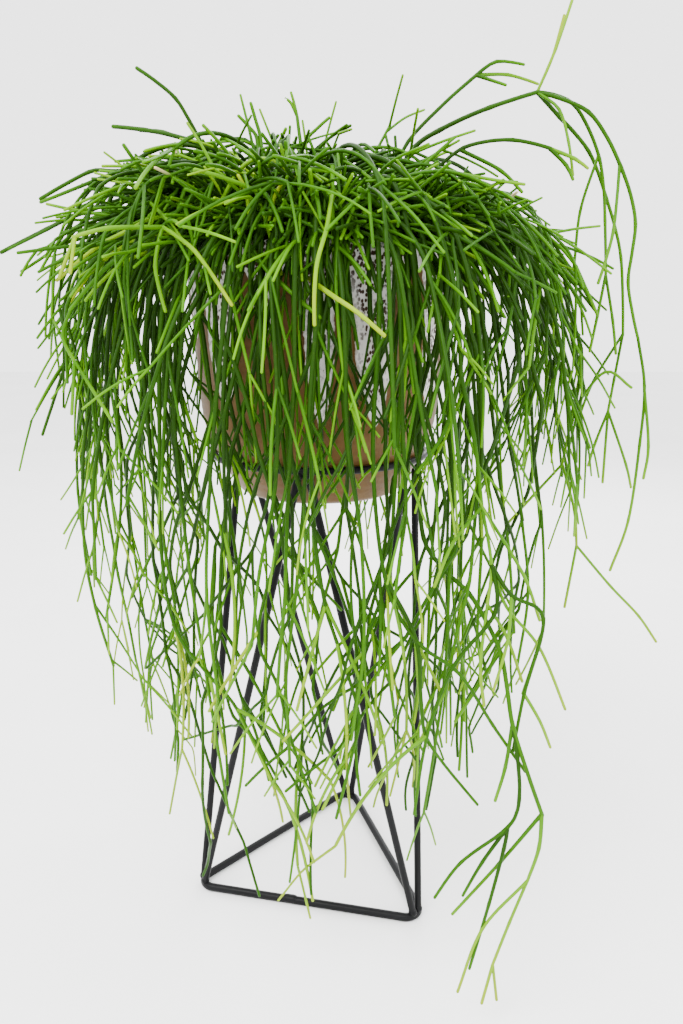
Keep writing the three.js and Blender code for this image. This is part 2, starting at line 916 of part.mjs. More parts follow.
function sprayGeometry(spray) {
  const post = crownPost(spray, crownRadius, soilTop - holeDepth, soilTop + crownHeight);
  const joined = wasm.Manifold.union([solid(post)].concat(spray.stems.map((stem) => solid(stemTube(stem)))));
  const bodies = joined.decompose().sort((a, b) => b.numTri() - a.numTri());
  return geometryOf(bodies[0]);
}

function soil(grown) {
  const profile = potInside(seatGap, soilTop).concat([[0, soilTop]]);
  let mix = solid(lathe(profile));
  const holeFoot = soilTop - holeDepth - seatGap;
  for (const spray of grown) {
    const hole = crownPost(spray, crownRadius + seatGap, holeFoot, soilTop + crownHeight);
    mix = mix.subtract(solid(hole));
  }
  return geometryOf(mix);
}

const part = new THREE.Group();

function addPiece(name, geometry, material) {
  const mesh = new THREE.Mesh(geometry, material);
  mesh.name = name;
  part.add(mesh);
}

const ringStep = 360 / potSides;
const ringCentres = Array.from({ length: potSides }, (_, i) => around(ringRadius, ringStep * i, ringHeight));
addPiece("stand_base", wireLoop(baseLine(), baseWire), finish.wire);
addPiece("stand_ring", wireLoop(ringCentres, ringWire), finish.wire);
for (const [name, geometry] of rods()) {
  addPiece(name, geometry, finish.wire);
}
addPiece("pot", pot(), finish.glaze);
const grown = sprays();
addPiece("soil", soil(grown), finish.soil);
for (const spray of grown) {
  addPiece(spray.name, sprayGeometry(spray), finish.stem);
}

// The origin goes to the floor under the middle of the whole object.
const bounds = new THREE.Box3().setFromObject(part);
const middle = bounds.getCenter(new THREE.Vector3());
part.position.set(-middle.x, -middle.y, -bounds.min.z);

export default part;
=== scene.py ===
import math

import bpy
import numpy as np
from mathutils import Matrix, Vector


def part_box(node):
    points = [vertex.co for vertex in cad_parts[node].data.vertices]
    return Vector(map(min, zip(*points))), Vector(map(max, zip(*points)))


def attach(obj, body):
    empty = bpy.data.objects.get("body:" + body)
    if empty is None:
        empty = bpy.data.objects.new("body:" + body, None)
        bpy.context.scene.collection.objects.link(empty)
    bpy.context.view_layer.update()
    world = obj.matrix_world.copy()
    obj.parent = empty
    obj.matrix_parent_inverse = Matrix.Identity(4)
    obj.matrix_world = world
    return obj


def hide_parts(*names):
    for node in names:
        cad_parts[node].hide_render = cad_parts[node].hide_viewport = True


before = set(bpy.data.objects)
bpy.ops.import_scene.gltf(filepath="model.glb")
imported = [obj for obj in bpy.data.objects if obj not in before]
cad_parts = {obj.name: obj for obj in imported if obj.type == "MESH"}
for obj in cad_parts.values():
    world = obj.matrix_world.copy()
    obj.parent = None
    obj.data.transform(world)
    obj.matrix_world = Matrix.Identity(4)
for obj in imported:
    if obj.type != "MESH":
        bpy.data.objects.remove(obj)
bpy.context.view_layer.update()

# Sizes below are in millimetres around the pot's axis; inMetres puts them in the frame's place.
ringLow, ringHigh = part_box("stand_ring")
axisX = (ringLow.x + ringHigh.x) / 2
axisY = (ringLow.y + ringHigh.y) / 2


def inMetres(points):
    return np.asarray(points, float).reshape(-1, 3) / 1000 + np.array([axisX, axisY, 0])


# Stand, pot and soil sizes.
standSizes = {
    "ringRadius": 100, "ringHeight": 452.5, "ringWire": 6.5,
    "baseRadius": 140.8, "baseWire": 8, "baseBend": 13,
    "rodWire": 7, "rodsApart": 7.9, "cornerTurn": -42.9, "topTurn": 6.2,
    "rodSink": 0.4, "sides": 20, "bendSteps": 14, "ringSteps": 90, "rodSteps": 6,
}
potSizes = {
    "rim": 640, "lipDrop": 4, "columns": 300, "rowStep": 1.9, "lineSteps": 8, "liningSteps": 5,
    "insideStep": 6,
    "outline": [
        (70, 417), (76, 420), (83, 429), (90.5, 441), (96.6, 453.6), (103, 468), (108.2, 484),
        (111.5, 512), (113.4, 548), (116.3, 590), (119.4, 630), (119.6, 636), (117.6, 640),
    ],
    "under": [(30, 418.0), (58, 418.0), (62, 417.2), (66, 417)],
    "lip": [(116.6, 640.2), (115.4, 640.2), (114.3, 639.8), (113.4, 638.9), (112.8, 637.4)],
    "lining": [(112.4, 634), (108.5, 590), (106.4, 548), (101.2, 484), (89, 452), (70, 426)],
    "lastRing": (35, 426), "underMiddle": 418.0, "insideMiddle": 426.0, "turning": (0.12, 0.9, 634),
    "glazedInside": 600, "insideGlaze": 20.0, "insideCrust": 0.8, "bare": -30.0,
}
soilSizes = {
    "top": 616, "holeDepth": 30, "rings": 34, "columns": 96, "reach": 109.2, "seed": 21,
    "below": [(106.2, 560), (101, 486), (88, 454), (69, 427.5)], "middle": 617.5, "level": 615.5,
    "foot": 427.5, "swell": 1.6, "swellTurns": (0.09, 0.11), "crumb": 1.2, "edge": 0.2,
}


# Small vector helpers on plain tuples, in double precision.
def add(a, b, scale=1.0):
    return (a[0] + b[0] * scale, a[1] + b[1] * scale, a[2] + b[2] * scale)


def sub(a, b):
    return (a[0] - b[0], a[1] - b[1], a[2] - b[2])


def dot(a, b):
    return a[0] * b[0] + a[1] * b[1] + a[2] * b[2]


def cross(a, b):
    return (a[1] * b[2] - a[2] * b[1], a[2] * b[0] - a[0] * b[2], a[0] * b[1] - a[1] * b[0])


def unit(a):
    length = math.sqrt(dot(a, a)) or 1.0
    return (a[0] / length, a[1] / length, a[2] / length)


def distance(a, b):
    return math.sqrt((a[0] - b[0]) ** 2 + (a[1] - b[1]) ** 2 + (a[2] - b[2]) ** 2)


def around(radius, angle, z):
    turn = angle * math.pi / 180
    return (radius * math.cos(turn), radius * math.sin(turn), z)


up = (0.0, 0.0, 1.0)


def outlineRadius(outline, z):
    i = next((k for k, (radius, height) in enumerate(outline) if z <= height), len(outline) - 1)
    i = max(1, i)
    radius, height = outline[i]
    radiusBelow, heightBelow = outline[i - 1]
    return radiusBelow + (radius - radiusBelow) * (z - heightBelow) / (height - heightBelow)


def linked(name, data):
    made = bpy.data.objects.new(name, data)
    bpy.context.scene.collection.objects.link(made)
    return made


# Camera, floor and light. Each light: its name, place, size and power.
view = {
    "place": (20.6, -822.5, 599.7), "pitch": 14.18, "focalPixels": 869.4, "pictureHeight": 1024,
    "sensor": 36, "clipEnd": 50,
    "floorReach": 6.0, "worldStrength": 3.3, "target": (0, 0, 0.5),
    "lights": [
        ("softAbove", (-0.7, -1.1, 2.2), 1.6, 110), ("softRight", (1.8, -0.6, 1.2), 1.4, 24),
        ("softBehind", (0.4, 1.8, 1.5), 1.6, 40),
    ],
}


def makeCamera():
    data = bpy.data.cameras.new("camera")
    data.sensor_fit = "VERTICAL"
    data.sensor_height = view["sensor"]
    data.lens = view["focalPixels"] / view["pictureHeight"] * view["sensor"]
    data.clip_end = view["clipEnd"]
    camera = linked("camera", data)
    camera.location = inMetres([view["place"]])[0]
    camera.rotation_euler = (math.radians(90 - view["pitch"]), 0, 0)
    bpy.context.scene.camera = camera


def areaLight(name, place, size, power):
    data = bpy.data.lights.new(name, "AREA")
    data.shape = "DISK"
    data.size = size
    data.energy = power
    light = linked(name, data)
    light.location = place
    heading = sub(view["target"], place)
    lean = math.atan2(-heading[2], math.hypot(heading[0], heading[1]))
    turn = math.atan2(heading[1], heading[0])
    light.rotation_euler = (math.pi / 2 - lean, 0, turn - math.pi / 2)


def makeStage():
    reach = view["floorReach"]
    mesh = bpy.data.meshes.new("floor")
    corners = [(-reach, -reach, 0), (reach, -reach, 0), (reach, reach, 0), (-reach, reach, 0)]
    mesh.from_pydata(corners, [], [(0, 1, 2, 3)])
    floor = linked("floor", mesh)
    floor.data.materials.append(floorMaterial())
    world = bpy.data.worlds.new("studio")
    bpy.context.scene.world = world
    world.use_nodes = True
    background = world.node_tree.nodes["Background"]
    background.inputs["Color"].default_value = (1, 1, 1, 1)
    background.inputs["Strength"].default_value = view["worldStrength"]
    for light in view["lights"]:
        areaLight(*light)


# Node helpers.
def newMaterial(name):
    material = bpy.data.materials.new(name)
    material.use_nodes = True
    material.node_tree.nodes.clear()
    return material, Graph(material.node_tree)


class Graph:
    def __init__(self, tree):
        self.tree = tree

    def node(self, kind, inputs=None, **settings):
        made = self.tree.nodes.new(kind)
        for key, value in settings.items():
            setattr(made, key, value)
        for key, value in (inputs or {}).items():
            self.feed(made.inputs[key], value)
        return made

    def feed(self, socket, value):
        if isinstance(value, bpy.types.NodeSocket):
            self.tree.links.new(value, socket)
        else:
            socket.default_value = value

    def math(self, operation, a, b=0.0, clamp=False):
        return self.node("ShaderNodeMath", {0: a, 1: b}, operation=operation, use_clamp=clamp).outputs[0]

    def ramp(self, factor, stops):
        made = self.node("ShaderNodeValToRGB", {0: factor})
        elements = made.color_ramp.elements
        while len(elements) < len(stops):
            elements.new(0.5)
        for element, (place, colour) in zip(elements, stops):
            element.position = place
            element.color = (*colour, 1)
        return made.outputs[0]

    def range(self, value, low, high, toLow=0.0, toHigh=1.0, smooth=False):
        made = self.node("ShaderNodeMapRange", {0: value, 1: low, 2: high, 3: toLow, 4: toHigh})
        made.interpolation_type = "SMOOTHSTEP" if smooth else "LINEAR"
        return made.outputs[0]

    def mix(self, factor, a, b):
        made = self.node("ShaderNodeMix", data_type="RGBA", clamp_factor=True)
        colours = [socket for socket in made.inputs if socket.type == "RGBA"]
        self.feed(made.inputs[0], factor)
        for socket, value in zip(colours, (a, b)):
            self.feed(socket, value if isinstance(value, bpy.types.NodeSocket) else (*value, 1))
        return [socket for socket in made.outputs if socket.type == "RGBA"][0]

    def objectPlace(self, scale=(1, 1, 1)):
        place = self.node("ShaderNodeTexCoord").outputs["Object"]
        return self.node("ShaderNodeMapping", {"Vector": place, "Scale": scale}).outputs[0]

    def noise(self, place, scale, detail=3.0, roughness=0.55):
        inputs = {"Vector": place, "Scale": scale, "Detail": detail, "Roughness": roughness}
        return self.node("ShaderNodeTexNoise", inputs).outputs[0]

    def attribute(self, name):
        return self.node("ShaderNodeAttribute", attribute_name=name).outputs["Fac"]

    def bump(self, height, strength, depth):
        inputs = {"Height": height, "Strength": strength, "Distance": depth}
        return self.node("ShaderNodeBump", inputs).outputs[0]

    def surface(self, **inputs):
        named = {key.replace("_", " "): value for key, value in inputs.items()}
        shader = self.node("ShaderNodeBsdfPrincipled", named)
        self.node("ShaderNodeOutputMaterial", {"Surface": shader.outputs[0]})


floorFinish = {"colours": [(0.3, (0.86, 0.86, 0.86)), (0.7, (0.9, 0.9, 0.9))], "roughness": 0.75}


def floorMaterial():
    material, graph = newMaterial("paleFloor")
    colour = graph.ramp(graph.noise(graph.objectPlace(), 3.0), floorFinish["colours"])
    graph.surface(Base_Color=colour, Roughness=floorFinish["roughness"])
    return material


wireFinish = {"colour": (0.0025, 0.0025, 0.0028), "lighter": 2.1, "roughness": 0.4}


def wireMaterial():
    material, graph = newMaterial("satinBlackWire")
    place = graph.objectPlace()
    cloud = graph.noise(place, 28.0)
    fine = graph.noise(place, 900.0, 2.0)
    dark = wireFinish["colour"]
    light = tuple(value * wireFinish["lighter"] for value in dark)
    colour = graph.ramp(cloud, [(0.35, dark), (0.75, light)])
    rough = graph.range(cloud, 0.3, 0.7, wireFinish["roughness"] - 0.05, wireFinish["roughness"] + 0.1)
    bump = graph.bump(fine, 0.25, 0.0004)
    graph.surface(Base_Color=colour, Roughness=rough, Specular_IOR_Level=0.1, Normal=bump)
    return material


clayFinish = {
    "deep": (0.06, 0.030, 0.007), "main": (0.10, 0.052, 0.012), "pale": (0.165, 0.096, 0.034),
    "roughness": 0.46, "glaze": (0.78, 0.77, 0.73), "thinGlaze": (0.64, 0.62, 0.57),
    "glazeEdge": (0.25, 0.17, 0.12), "speck": (0.04, 0.02, 0.011), "glazeRoughness": 0.2,
}


def potMaterial():
    finish = clayFinish
    material, graph = newMaterial("drippedGlaze")
    place = graph.objectPlace()
    cloud = graph.noise(place, 14.0, 4.0)
    clay = graph.ramp(cloud, [(0.25, finish["deep"]), (0.5, finish["main"]), (0.8, finish["pale"])])
    grit = graph.noise(place, 420.0, 2.0)
    clay = graph.mix(graph.range(grit, 0.62, 0.72, 0, 0.45), clay, finish["deep"])
    wander = graph.range(graph.noise(place, 130.0, 2.0), 0.3, 0.7, -0.9, 0.9)
    edge = graph.math("ADD", graph.attribute("glaze"), wander)
    covered = graph.range(edge, -0.25, 0.25, smooth=True)
    # dark crust: cells that gather in patches
    cells = {"Vector": graph.objectPlace((1, 1, 0.7)), "Scale": 400.0, "Randomness": 1.0}
    crust = graph.node("ShaderNodeTexVoronoi", cells).outputs["Distance"]
    patches = graph.noise(graph.objectPlace((1, 1, 0.45)), 62.0, 4.0, 0.65)
    patches = graph.range(patches, 0.4, 0.49, smooth=True)
    amount = graph.math("MULTIPLY", patches, graph.range(crust, 0.4, 0.62, 1.25, 0))
    amount = graph.math("MULTIPLY", amount, graph.attribute("crust"), clamp=True)
    dots = graph.range(graph.noise(place, 330.0, 2.0), 0.7, 0.74, 0, 0.8)
    amount = graph.math("MAXIMUM", amount, dots)
    thin = graph.range(graph.noise(place, 40.0), 0.3, 0.7)
    glaze = graph.mix(thin, finish["glaze"], finish["thinGlaze"])
    glaze = graph.mix(amount, glaze, finish["speck"])
    rim = graph.range(edge, 0.0, 1.6, 0.55, 0.0)
    glaze = graph.mix(rim, glaze, finish["glazeEdge"])
    colour = graph.mix(covered, clay, glaze)
    rough = graph.range(covered, 0, 1, finish["roughness"], finish["glazeRoughness"])
    relief = graph.math("ADD", graph.math("MULTIPLY", grit, 0.4), graph.math("MULTIPLY", amount, 0.5))
    bump = graph.bump(relief, 0.35, 0.0006)
    graph.surface(Base_Color=colour, Roughness=rough, Specular_IOR_Level=0.14, Normal=bump)
    return material


soilFinish = {
    "colours": [(0.3, (0.012, 0.008, 0.005)), (0.55, (0.045, 0.028, 0.018)), (0.8, (0.12, 0.085, 0.055))],
    "roughness": 0.95,
}


def soilMaterial():
    material, graph = newMaterial("pottingMix")
    place = graph.objectPlace()
    crumbs = graph.noise(place, 190.0, 5.0, 0.7)
    colour = graph.ramp(crumbs, soilFinish["colours"])
    bump = graph.bump(crumbs, 0.8, 0.003)
    graph.surface(Base_Color=colour, Roughness=soilFinish["roughness"], Normal=bump)
    return material


stemFinish = {
    "ages": [
        (0.0, (0.2, 0.275, 0.0)), (0.12, (0.14, 0.26, 0.0)), (0.3, (0.08, 0.21, 0.0)),
        (0.55, (0.037, 0.13, 0.0)), (0.8, (0.016, 0.066, 0.0)), (1.0, (0.008, 0.032, 0.0)),
    ],
    "fleck": (0.32, 0.46, 0.04), "dry": (0.62, 0.48, 0.27), "roughness": 0.42,
}


def stemMaterial():
    material, graph = newMaterial("greenStem")
    place = graph.objectPlace()
    mottle = graph.noise(place, 60.0, 3.0)
    shift = graph.range(mottle, 0.25, 0.75, -0.06, 0.06)
    age = graph.math("ADD", graph.attribute("age"), shift, clamp=True)
    colour = graph.ramp(age, stemFinish["ages"])
    fleck = graph.noise(place, 700.0, 2.0)
    colour = graph.mix(graph.range(fleck, 0.6, 0.8, 0, 0.07), colour, stemFinish["fleck"])
    colour = graph.mix(graph.attribute("dry"), colour, stemFinish["dry"])
    rough = graph.range(mottle, 0.3, 0.7, stemFinish["roughness"] - 0.06, stemFinish["roughness"] + 0.1)
    bump = graph.bump(fleck, 0.2, 0.0005)
    graph.surface(Base_Color=colour, Roughness=rough, Specular_IOR_Level=0.07, Normal=bump)
    return material


# Geometry Nodes: a round tube along every edge path, with a radius for each of its points.
def tubeTree(name, material):
    tree = bpy.data.node_groups.new(name, "GeometryNodeTree")
    tree.interface.new_socket("Geometry", in_out="INPUT", socket_type="NodeSocketGeometry")
    sideSocket = tree.interface.new_socket("Sides", in_out="INPUT", socket_type="NodeSocketInt")
    tree.interface.new_socket("Geometry", in_out="OUTPUT", socket_type="NodeSocketGeometry")
    graph = Graph(tree)
    given = graph.node("NodeGroupInput")
    curve = graph.node("GeometryNodeMeshToCurve", {0: given.outputs["Geometry"]})
    width = graph.node("GeometryNodeInputNamedAttribute", {"Name": "width"}, data_type="FLOAT")
    sized = graph.node("GeometryNodeSetCurveRadius", {"Curve": curve.outputs[0], "Radius": width.outputs[0]})
    circle = {"Resolution": given.outputs["Sides"], "Radius": 1.0}
    section = graph.node("GeometryNodeCurvePrimitiveCircle", circle)
    swept = {"Curve": sized.outputs[0], "Profile Curve": section.outputs[0], "Fill Caps": True}
    tube = graph.node("GeometryNodeCurveToMesh", swept)
    if "Scale" in tube.inputs:
        radius = graph.node("GeometryNodeInputRadius")
        graph.feed(tube.inputs["Scale"], radius.outputs[0])
    smooth = graph.node("GeometryNodeSetShadeSmooth", {0: tube.outputs[0], "Shade Smooth": True})
    real = graph.node("GeometryNodeRealizeInstances", {0: smooth.outputs[0]})
    finish = graph.node("GeometryNodeSetMaterial", {"Geometry": real.outputs[0], "Material": material})
    graph.node("NodeGroupOutput", {0: finish.outputs[0]})
    return tree, sideSocket.identifier


def bakedPiece(name, mesh, material, sides):
    carrier = linked(name + "Paths", mesh)
    modifier = carrier.modifiers.new("nodes", "NODES")
    modifier.node_group, sideKey = tubeTree(name + "Tubes", material)
    modifier[sideKey] = sides
    graph = bpy.context.evaluated_depsgraph_get()
    made = bpy.data.meshes.new_from_object(carrier.evaluated_get(graph), depsgraph=graph)
    carrier.modifiers.remove(modifier)
    bpy.data.objects.remove(carrier)
    made.name = name
    return linked(name, made)


def addChannel(mesh, name, values):
    made = mesh.attributes.new(name, "FLOAT", "POINT")
    made.data.foreach_set("value", np.asarray(values, np.float32))


def pathMesh(name, paths, channels, closed=False):
    # paths hold points in millimetres and one value of each channel for every point
    points = np.concatenate([np.asarray(path["points"], float) for path in paths])
    edges = []
    first = 0
    for path in paths:
        count = len(path["points"])
        edges.extend((first + i, first + i + 1) for i in range(count - 1))
        if closed:
            edges.append((first + count - 1, first))
        first += count
    mesh = bpy.data.meshes.new(name)
    mesh.from_pydata(inMetres(points).tolist(), edges, [])
    for channel in channels:
        addChannel(mesh, channel, np.concatenate([path[channel] for path in paths]))
    return mesh


def tubes(name, paths, material, sides, channels=("width",), closed=False):
    piece = bakedPiece(name, pathMesh(name, paths, channels, closed), material, sides)
    print(name, "triangles", sum(len(face.vertices) - 2 for face in piece.data.polygons))
    return piece


def settle(piece, slot, *nodes):
    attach(piece, "root")
    if nodes:
        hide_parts(*nodes)


def meshPiece(name, points, faces, material):
    mesh = bpy.data.meshes.new(name)
    mesh.from_pydata(inMetres(points).tolist(), [], faces)
    mesh.polygons.foreach_set("use_smooth", [True] * len(faces))
    mesh.materials.append(material)
    return linked(name, mesh)


makeCamera()
makeStage()
print("camera, floor and light are set")


# Wire stand.
weldSizes = {
    "reach": (-3.4, -2.2, -0.8, 0.8, 2.2, 3.4), "swell": (0.8, 1.08, 1.22, 1.22, 1.08, 0.8), "inset": 1.0,
    "sides": 14, "seamShare": 0.42, "seamLift": 0.6, "seamReach": (-6, -4.5, -2.5, 0, 2.5, 4.5, 6),
    "seamWidths": (4.0, 4.3, 4.5, 4.35, 4.55, 4.3, 4.0),
}
blackWire = wireMaterial()


def baseLine():
    sizes = standSizes
    steps = sizes["bendSteps"]
    setBack = sizes["baseRadius"] - 2 * sizes["baseBend"]
    line = []
    for corner in range(3):
        middle = sizes["cornerTurn"] + 120 * corner
        hub = around(setBack, middle, sizes["baseWire"] / 2)
        for i in range(steps + 1):
            line.append(add(hub, around(sizes["baseBend"], middle - 60 + 120 * i / steps, 0)))
    return line


def rodEnds():
    sizes = standSizes
    footHeight = sizes["baseWire"] - sizes["rodSink"]
    headHeight = sizes["ringHeight"] - sizes["ringWire"] / 2 + sizes["rodSink"]
    cornerReach = sizes["baseRadius"] - sizes["baseBend"]
    ends = []
    for corner in range(3):
        for side in (-1, 1):
            footAngle = sizes["cornerTurn"] + 120 * corner
            headAngle = footAngle + 60 * side + sizes["topTurn"]
            aside = side * sizes["rodsApart"] / 2
            foot = add(around(cornerReach, footAngle, footHeight), around(aside, footAngle + 90, 0))
            head = add(around(sizes["ringRadius"], headAngle, headHeight), around(-aside, headAngle + 90, 0))
            ends.append((foot, head))
    return ends


def wirePiece(name, line, wire, node, closed):
    path = {"points": line, "width": [wire / 2000] * len(line)}
    settle(tubes(name, [path], blackWire, standSizes["sides"], closed=closed), "stand_wire", node)


def weld(place, along, reach, widths):
    points = [add(place, along, offset) for offset in reach]
    return {"points": points, "width": [value / 1000 for value in widths]}


def makeStand():
    sizes = standSizes
    base = baseLine()
    wirePiece("standBase", base, sizes["baseWire"], "stand_base", True)
    steps = sizes["ringSteps"]
    ring = [around(sizes["ringRadius"], 360 * i / steps, sizes["ringHeight"]) for i in range(steps)]
    wirePiece("standRing", ring, sizes["ringWire"], "stand_ring", True)
    names = [f"stand_rod_{corner}_{side}" for corner in ("right", "back", "left") for side in "ab"]
    widths = [sizes["rodWire"] / 2 * share for share in weldSizes["swell"]]
    welds = []
    steps = sizes["rodSteps"]
    for (foot, head), name in zip(rodEnds(), names):
        line = [add(foot, sub(head, foot), i / steps) for i in range(steps + 1)]
        piece = name.replace("stand_rod", "standRod").replace("_", "")
        wirePiece(piece, line, sizes["rodWire"], name, False)
        along = unit(sub(head, foot))
        for end, inset in ((foot, weldSizes["inset"]), (head, -weldSizes["inset"])):
            welds.append(weld(add(end, along, inset), along, weldSizes["reach"], widths))
    # the base wire's ends meet in a weld near the middle of its front side
    span = sub(base[0], base[-1])
    seam = add(add(base[-1], span, weldSizes["seamShare"]), up, weldSizes["seamLift"])
    welds.append(weld(seam, unit(span), weldSizes["seamReach"], weldSizes["seamWidths"]))
    settle(tubes("standWelds", welds, blackWire, weldSizes["sides"]), "stand_wire")


makeStand()
print("stand is made")


# Pot: the lathe profile with a rolled lip, and glaze that ran down in drips.
# Each drip: where its tip points, how low it runs, half its width and how far its tip drifts.
glazeDrips = {
    "potRadius": 113.0,
    "list": [
        (-135, 500, 19, 2), (-110, 566, 11, 0), (-89, 489, 12, 2), (-67, 490, 17, 7), (-31, 484, 17, 6),
        (-4, 515, 15, -3), (24, 545, 18, 2), (47, 495, 14, -4), (76, 520, 20, 3), (103, 560, 12, 0),
        (124, 492, 15, 5), (153, 508, 18, -3), (-178, 535, 14, 2), (-158, 560, 11, 0),
    ],
    "band": 617, "relief": 0.55, "waves": [(4.5, 5, 0.7), (3.0, 11, 2.1)],
    "fadeBelow": 60, "roundShare": 0.42, "roundness": 0.62,
    "joinFrom": 0.72, "joinWidth": 9, "joinCurve": 1.2, "joinGrowth": 3.2,
    "crustEdge": (2, 7), "crustAmount": (0.3, 0.6), "crustBelowRim": (585, 40), "softEdge": (0.6, 2.2),
}


def limited(value):
    return max(0.0, min(1.0, value))


def glazeDepth(angle, z):
    # signed distance to the glaze's edge in millimetres, above zero on the glaze
    drips = glazeDrips
    best = z - drips["band"] + sum(
        size * math.sin(math.radians(turns * angle) + shift) for size, turns, shift in drips["waves"]
    )
    for middle, tip, half, drift in drips["list"]:
        share = (z - tip) / (drips["band"] - tip)
        aside = ((angle - middle + 180) % 360 - 180) * math.pi / 180 * drips["potRadius"]
        across = abs(aside - drift * (1 - limited(share)))
        width = share * drips["fadeBelow"]
        if share >= 0:
            join = drips["joinWidth"] * max(0.0, share - drips["joinFrom"]) ** drips["joinCurve"]
            width = half * min(
                1.0, share / drips["roundShare"]
            ) ** drips["roundness"] + join * drips["joinGrowth"]
        best = max(best, width - across)
    return best


def glazeCrust(angle, z):
    # how much dark crust the glaze carries: along the middle of each drip and under the rim
    edge, span = glazeDrips["crustEdge"]
    least, more = glazeDrips["crustAmount"]
    start, reach = glazeDrips["crustBelowRim"]
    return max(least + more * limited((glazeDepth(angle, z) - edge) / span), limited((z - start) / reach))


def splined(t, *places):
    # the place at a share of the way from the second to the third of four places
    weights = (
        0.5 * (-t + 2 * t * t - t ** 3), 0.5 * (2 - 5 * t * t + 3 * t ** 3),
        0.5 * (t + 4 * t * t - 3 * t ** 3), 0.5 * (-t * t + t ** 3),
    )
    return tuple(sum(w * p[axis] for w, p in zip(weights, places)) for axis in range(len(places[0])))


def smoothOutline(points, steps):
    line = [points[0]]
    for i in range(len(points) - 1):
        a, b = points[i], points[i + 1]
        before = points[i - 1] if i else a
        after = points[i + 2] if i + 2 < len(points) else b
        line.extend(splined(k / steps, before, a, b, after) for k in range(1, steps + 1))
    return line


def evenLine(line, step):
    spans = [math.hypot(b[0] - a[0], b[1] - a[1]) for a, b in zip(line, line[1:])]
    reach = np.concatenate([[0], np.cumsum(spans)])
    count = max(2, int(round(reach[-1] / step)))
    places = np.linspace(0, reach[-1], count + 1)
    across, heights = zip(*line)
    return list(zip(np.interp(places, reach, across), np.interp(places, reach, heights)))


def latheFaces(rows, columns):
    # faces between rings of points, closed by a middle point at each end
    faces = [(0, 1 + (k + 1) % columns, 1 + k) for k in range(columns)]
    for row in range(rows - 1):
        here = 1 + row * columns
        there = here + columns
        for k in range(columns):
            turn = (k + 1) % columns
            faces.append((here + k, here + turn, there + turn, there + k))
    last = 1 + (rows - 1) * columns
    faces.extend((last + k, last + (k + 1) % columns, last + columns) for k in range(columns))
    return faces


def makePot():
    sizes = potSizes
    outside = evenLine(smoothOutline(sizes["outline"], sizes["lineSteps"]), sizes["rowStep"]) + sizes["lip"]
    inside = evenLine(smoothOutline(sizes["lining"], sizes["liningSteps"]), sizes["insideStep"])
    profile = sizes["under"] + outside + inside + [sizes["lastRing"]]
    columns = sizes["columns"]
    outerRows = range(len(sizes["under"]), len(sizes["under"]) + len(outside))
    turned, turns, turnedBelow = sizes["turning"]
    soft, softer = glazeDrips["softEdge"]
    points = [(0.0, 0.0, sizes["underMiddle"])]
    glaze = [sizes["bare"]]
    crust = [0.0]
    for row, (radius, z) in enumerate(profile):
        for column in range(columns):
            angle = 360 * column / columns - 180
            depth = sizes["bare"]
            amount = 0.0
            lift = 0.0
            if row in outerRows:
                depth = glazeDepth(angle, z)
                amount = glazeCrust(angle, z)
                lift = glazeDrips["relief"] * limited((depth + soft) / softer)
                lift += turned * math.sin(z * turns) * (1 if z < turnedBelow else 0)
            elif z > sizes["glazedInside"]:
                depth = sizes["insideGlaze"]
                amount = sizes["insideCrust"]
            points.append(around(radius + lift, angle, z))
            glaze.append(depth)
            crust.append(amount)
    points.append((0.0, 0.0, sizes["insideMiddle"]))
    glaze.append(sizes["bare"])
    crust.append(0.0)
    piece = meshPiece("glazedPot", points, latheFaces(len(profile), columns), potMaterial())
    addChannel(piece.data, "glaze", glaze)
    addChannel(piece.data, "crust", crust)
    settle(piece, "pot_clay", "pot")


makePot()
print("pot is made")


# Potting mix: a crumbly top that fills the pot, closed below.
def makeSoil():
    sizes = soilSizes
    rings = sizes["rings"]
    columns = sizes["columns"]
    rng = np.random.default_rng(sizes["seed"])
    along, across = sizes["swellTurns"]
    points = [(0.0, 0.0, sizes["middle"])]
    for i in range(1, rings + 1):
        for k in range(columns):
            x, y, z = around(sizes["reach"] * i / rings, 360 * k / columns, 0)
            rise = sizes["swell"] * math.sin(x * along + 1) * math.cos(y * across)
            rise += rng.uniform(-sizes["crumb"], sizes["crumb"])
            points.append((x, y, sizes["level"] + rise * (1 if i < rings else sizes["edge"])))
    for radius, z in sizes["below"]:
        points.extend(around(radius, 360 * k / columns, z) for k in range(columns))
    points.append((0.0, 0.0, sizes["foot"]))
    faces = latheFaces(rings + len(sizes["below"]), columns)
    faces = [(face[0], *face[:0:-1]) for face in faces]
    settle(meshPiece("pottingMix", points, faces, soilMaterial()), "potting_mix", "soil")


makeSoil()
print("soil is made")


# The plant. Stem paths first: the same rule and the same draws as the solids follow, so that
# every solid gets its round stems along its own centre lines.
stemSizes = {
    "crownRadius": 4.6, "rootShift": 2.2, "thick": 2.35, "side": 1.55, "hanging": 1.75, "young": 1.35,
    "tip": 1.15, "solidGrowth": 1.22, "rootLift": 3, "crownRise": 7,
}
growthHabit = {
    "arching": {"length": (88, 120), "steps": 4}, "hanging": {"length": (62, 98), "steps": 2, "bend": 0.006},
    "firstKink": (0, 5), "laterKink": (4, 15), "kinksTried": 10, "fewestPoints": 9, "shootAngle": (18, 42),
    "shootLength": (48, 96), "shootBend": (0.002, 0.007), "shootSteps": 2, "turnJitter": 0.4,
    "forkedShare": 0.36, "forkedLength": 0.72, "sideShare": 0.85, "nodeSink": 2.5, "nodeStep": 5, "seed": 11,
    "fanJitter": 9, "archAngle": 2.6, "archShare": 1.25, "plansTried": 8, "forks": 2, "freeStep": 16,
    "freeSway": 0.0032,
}
stemAges = {"long": (0.98, 0.55), "side": (0.66, 0.2), "young": (0.42, 0.06), "upright": (0.9, 0.4)}
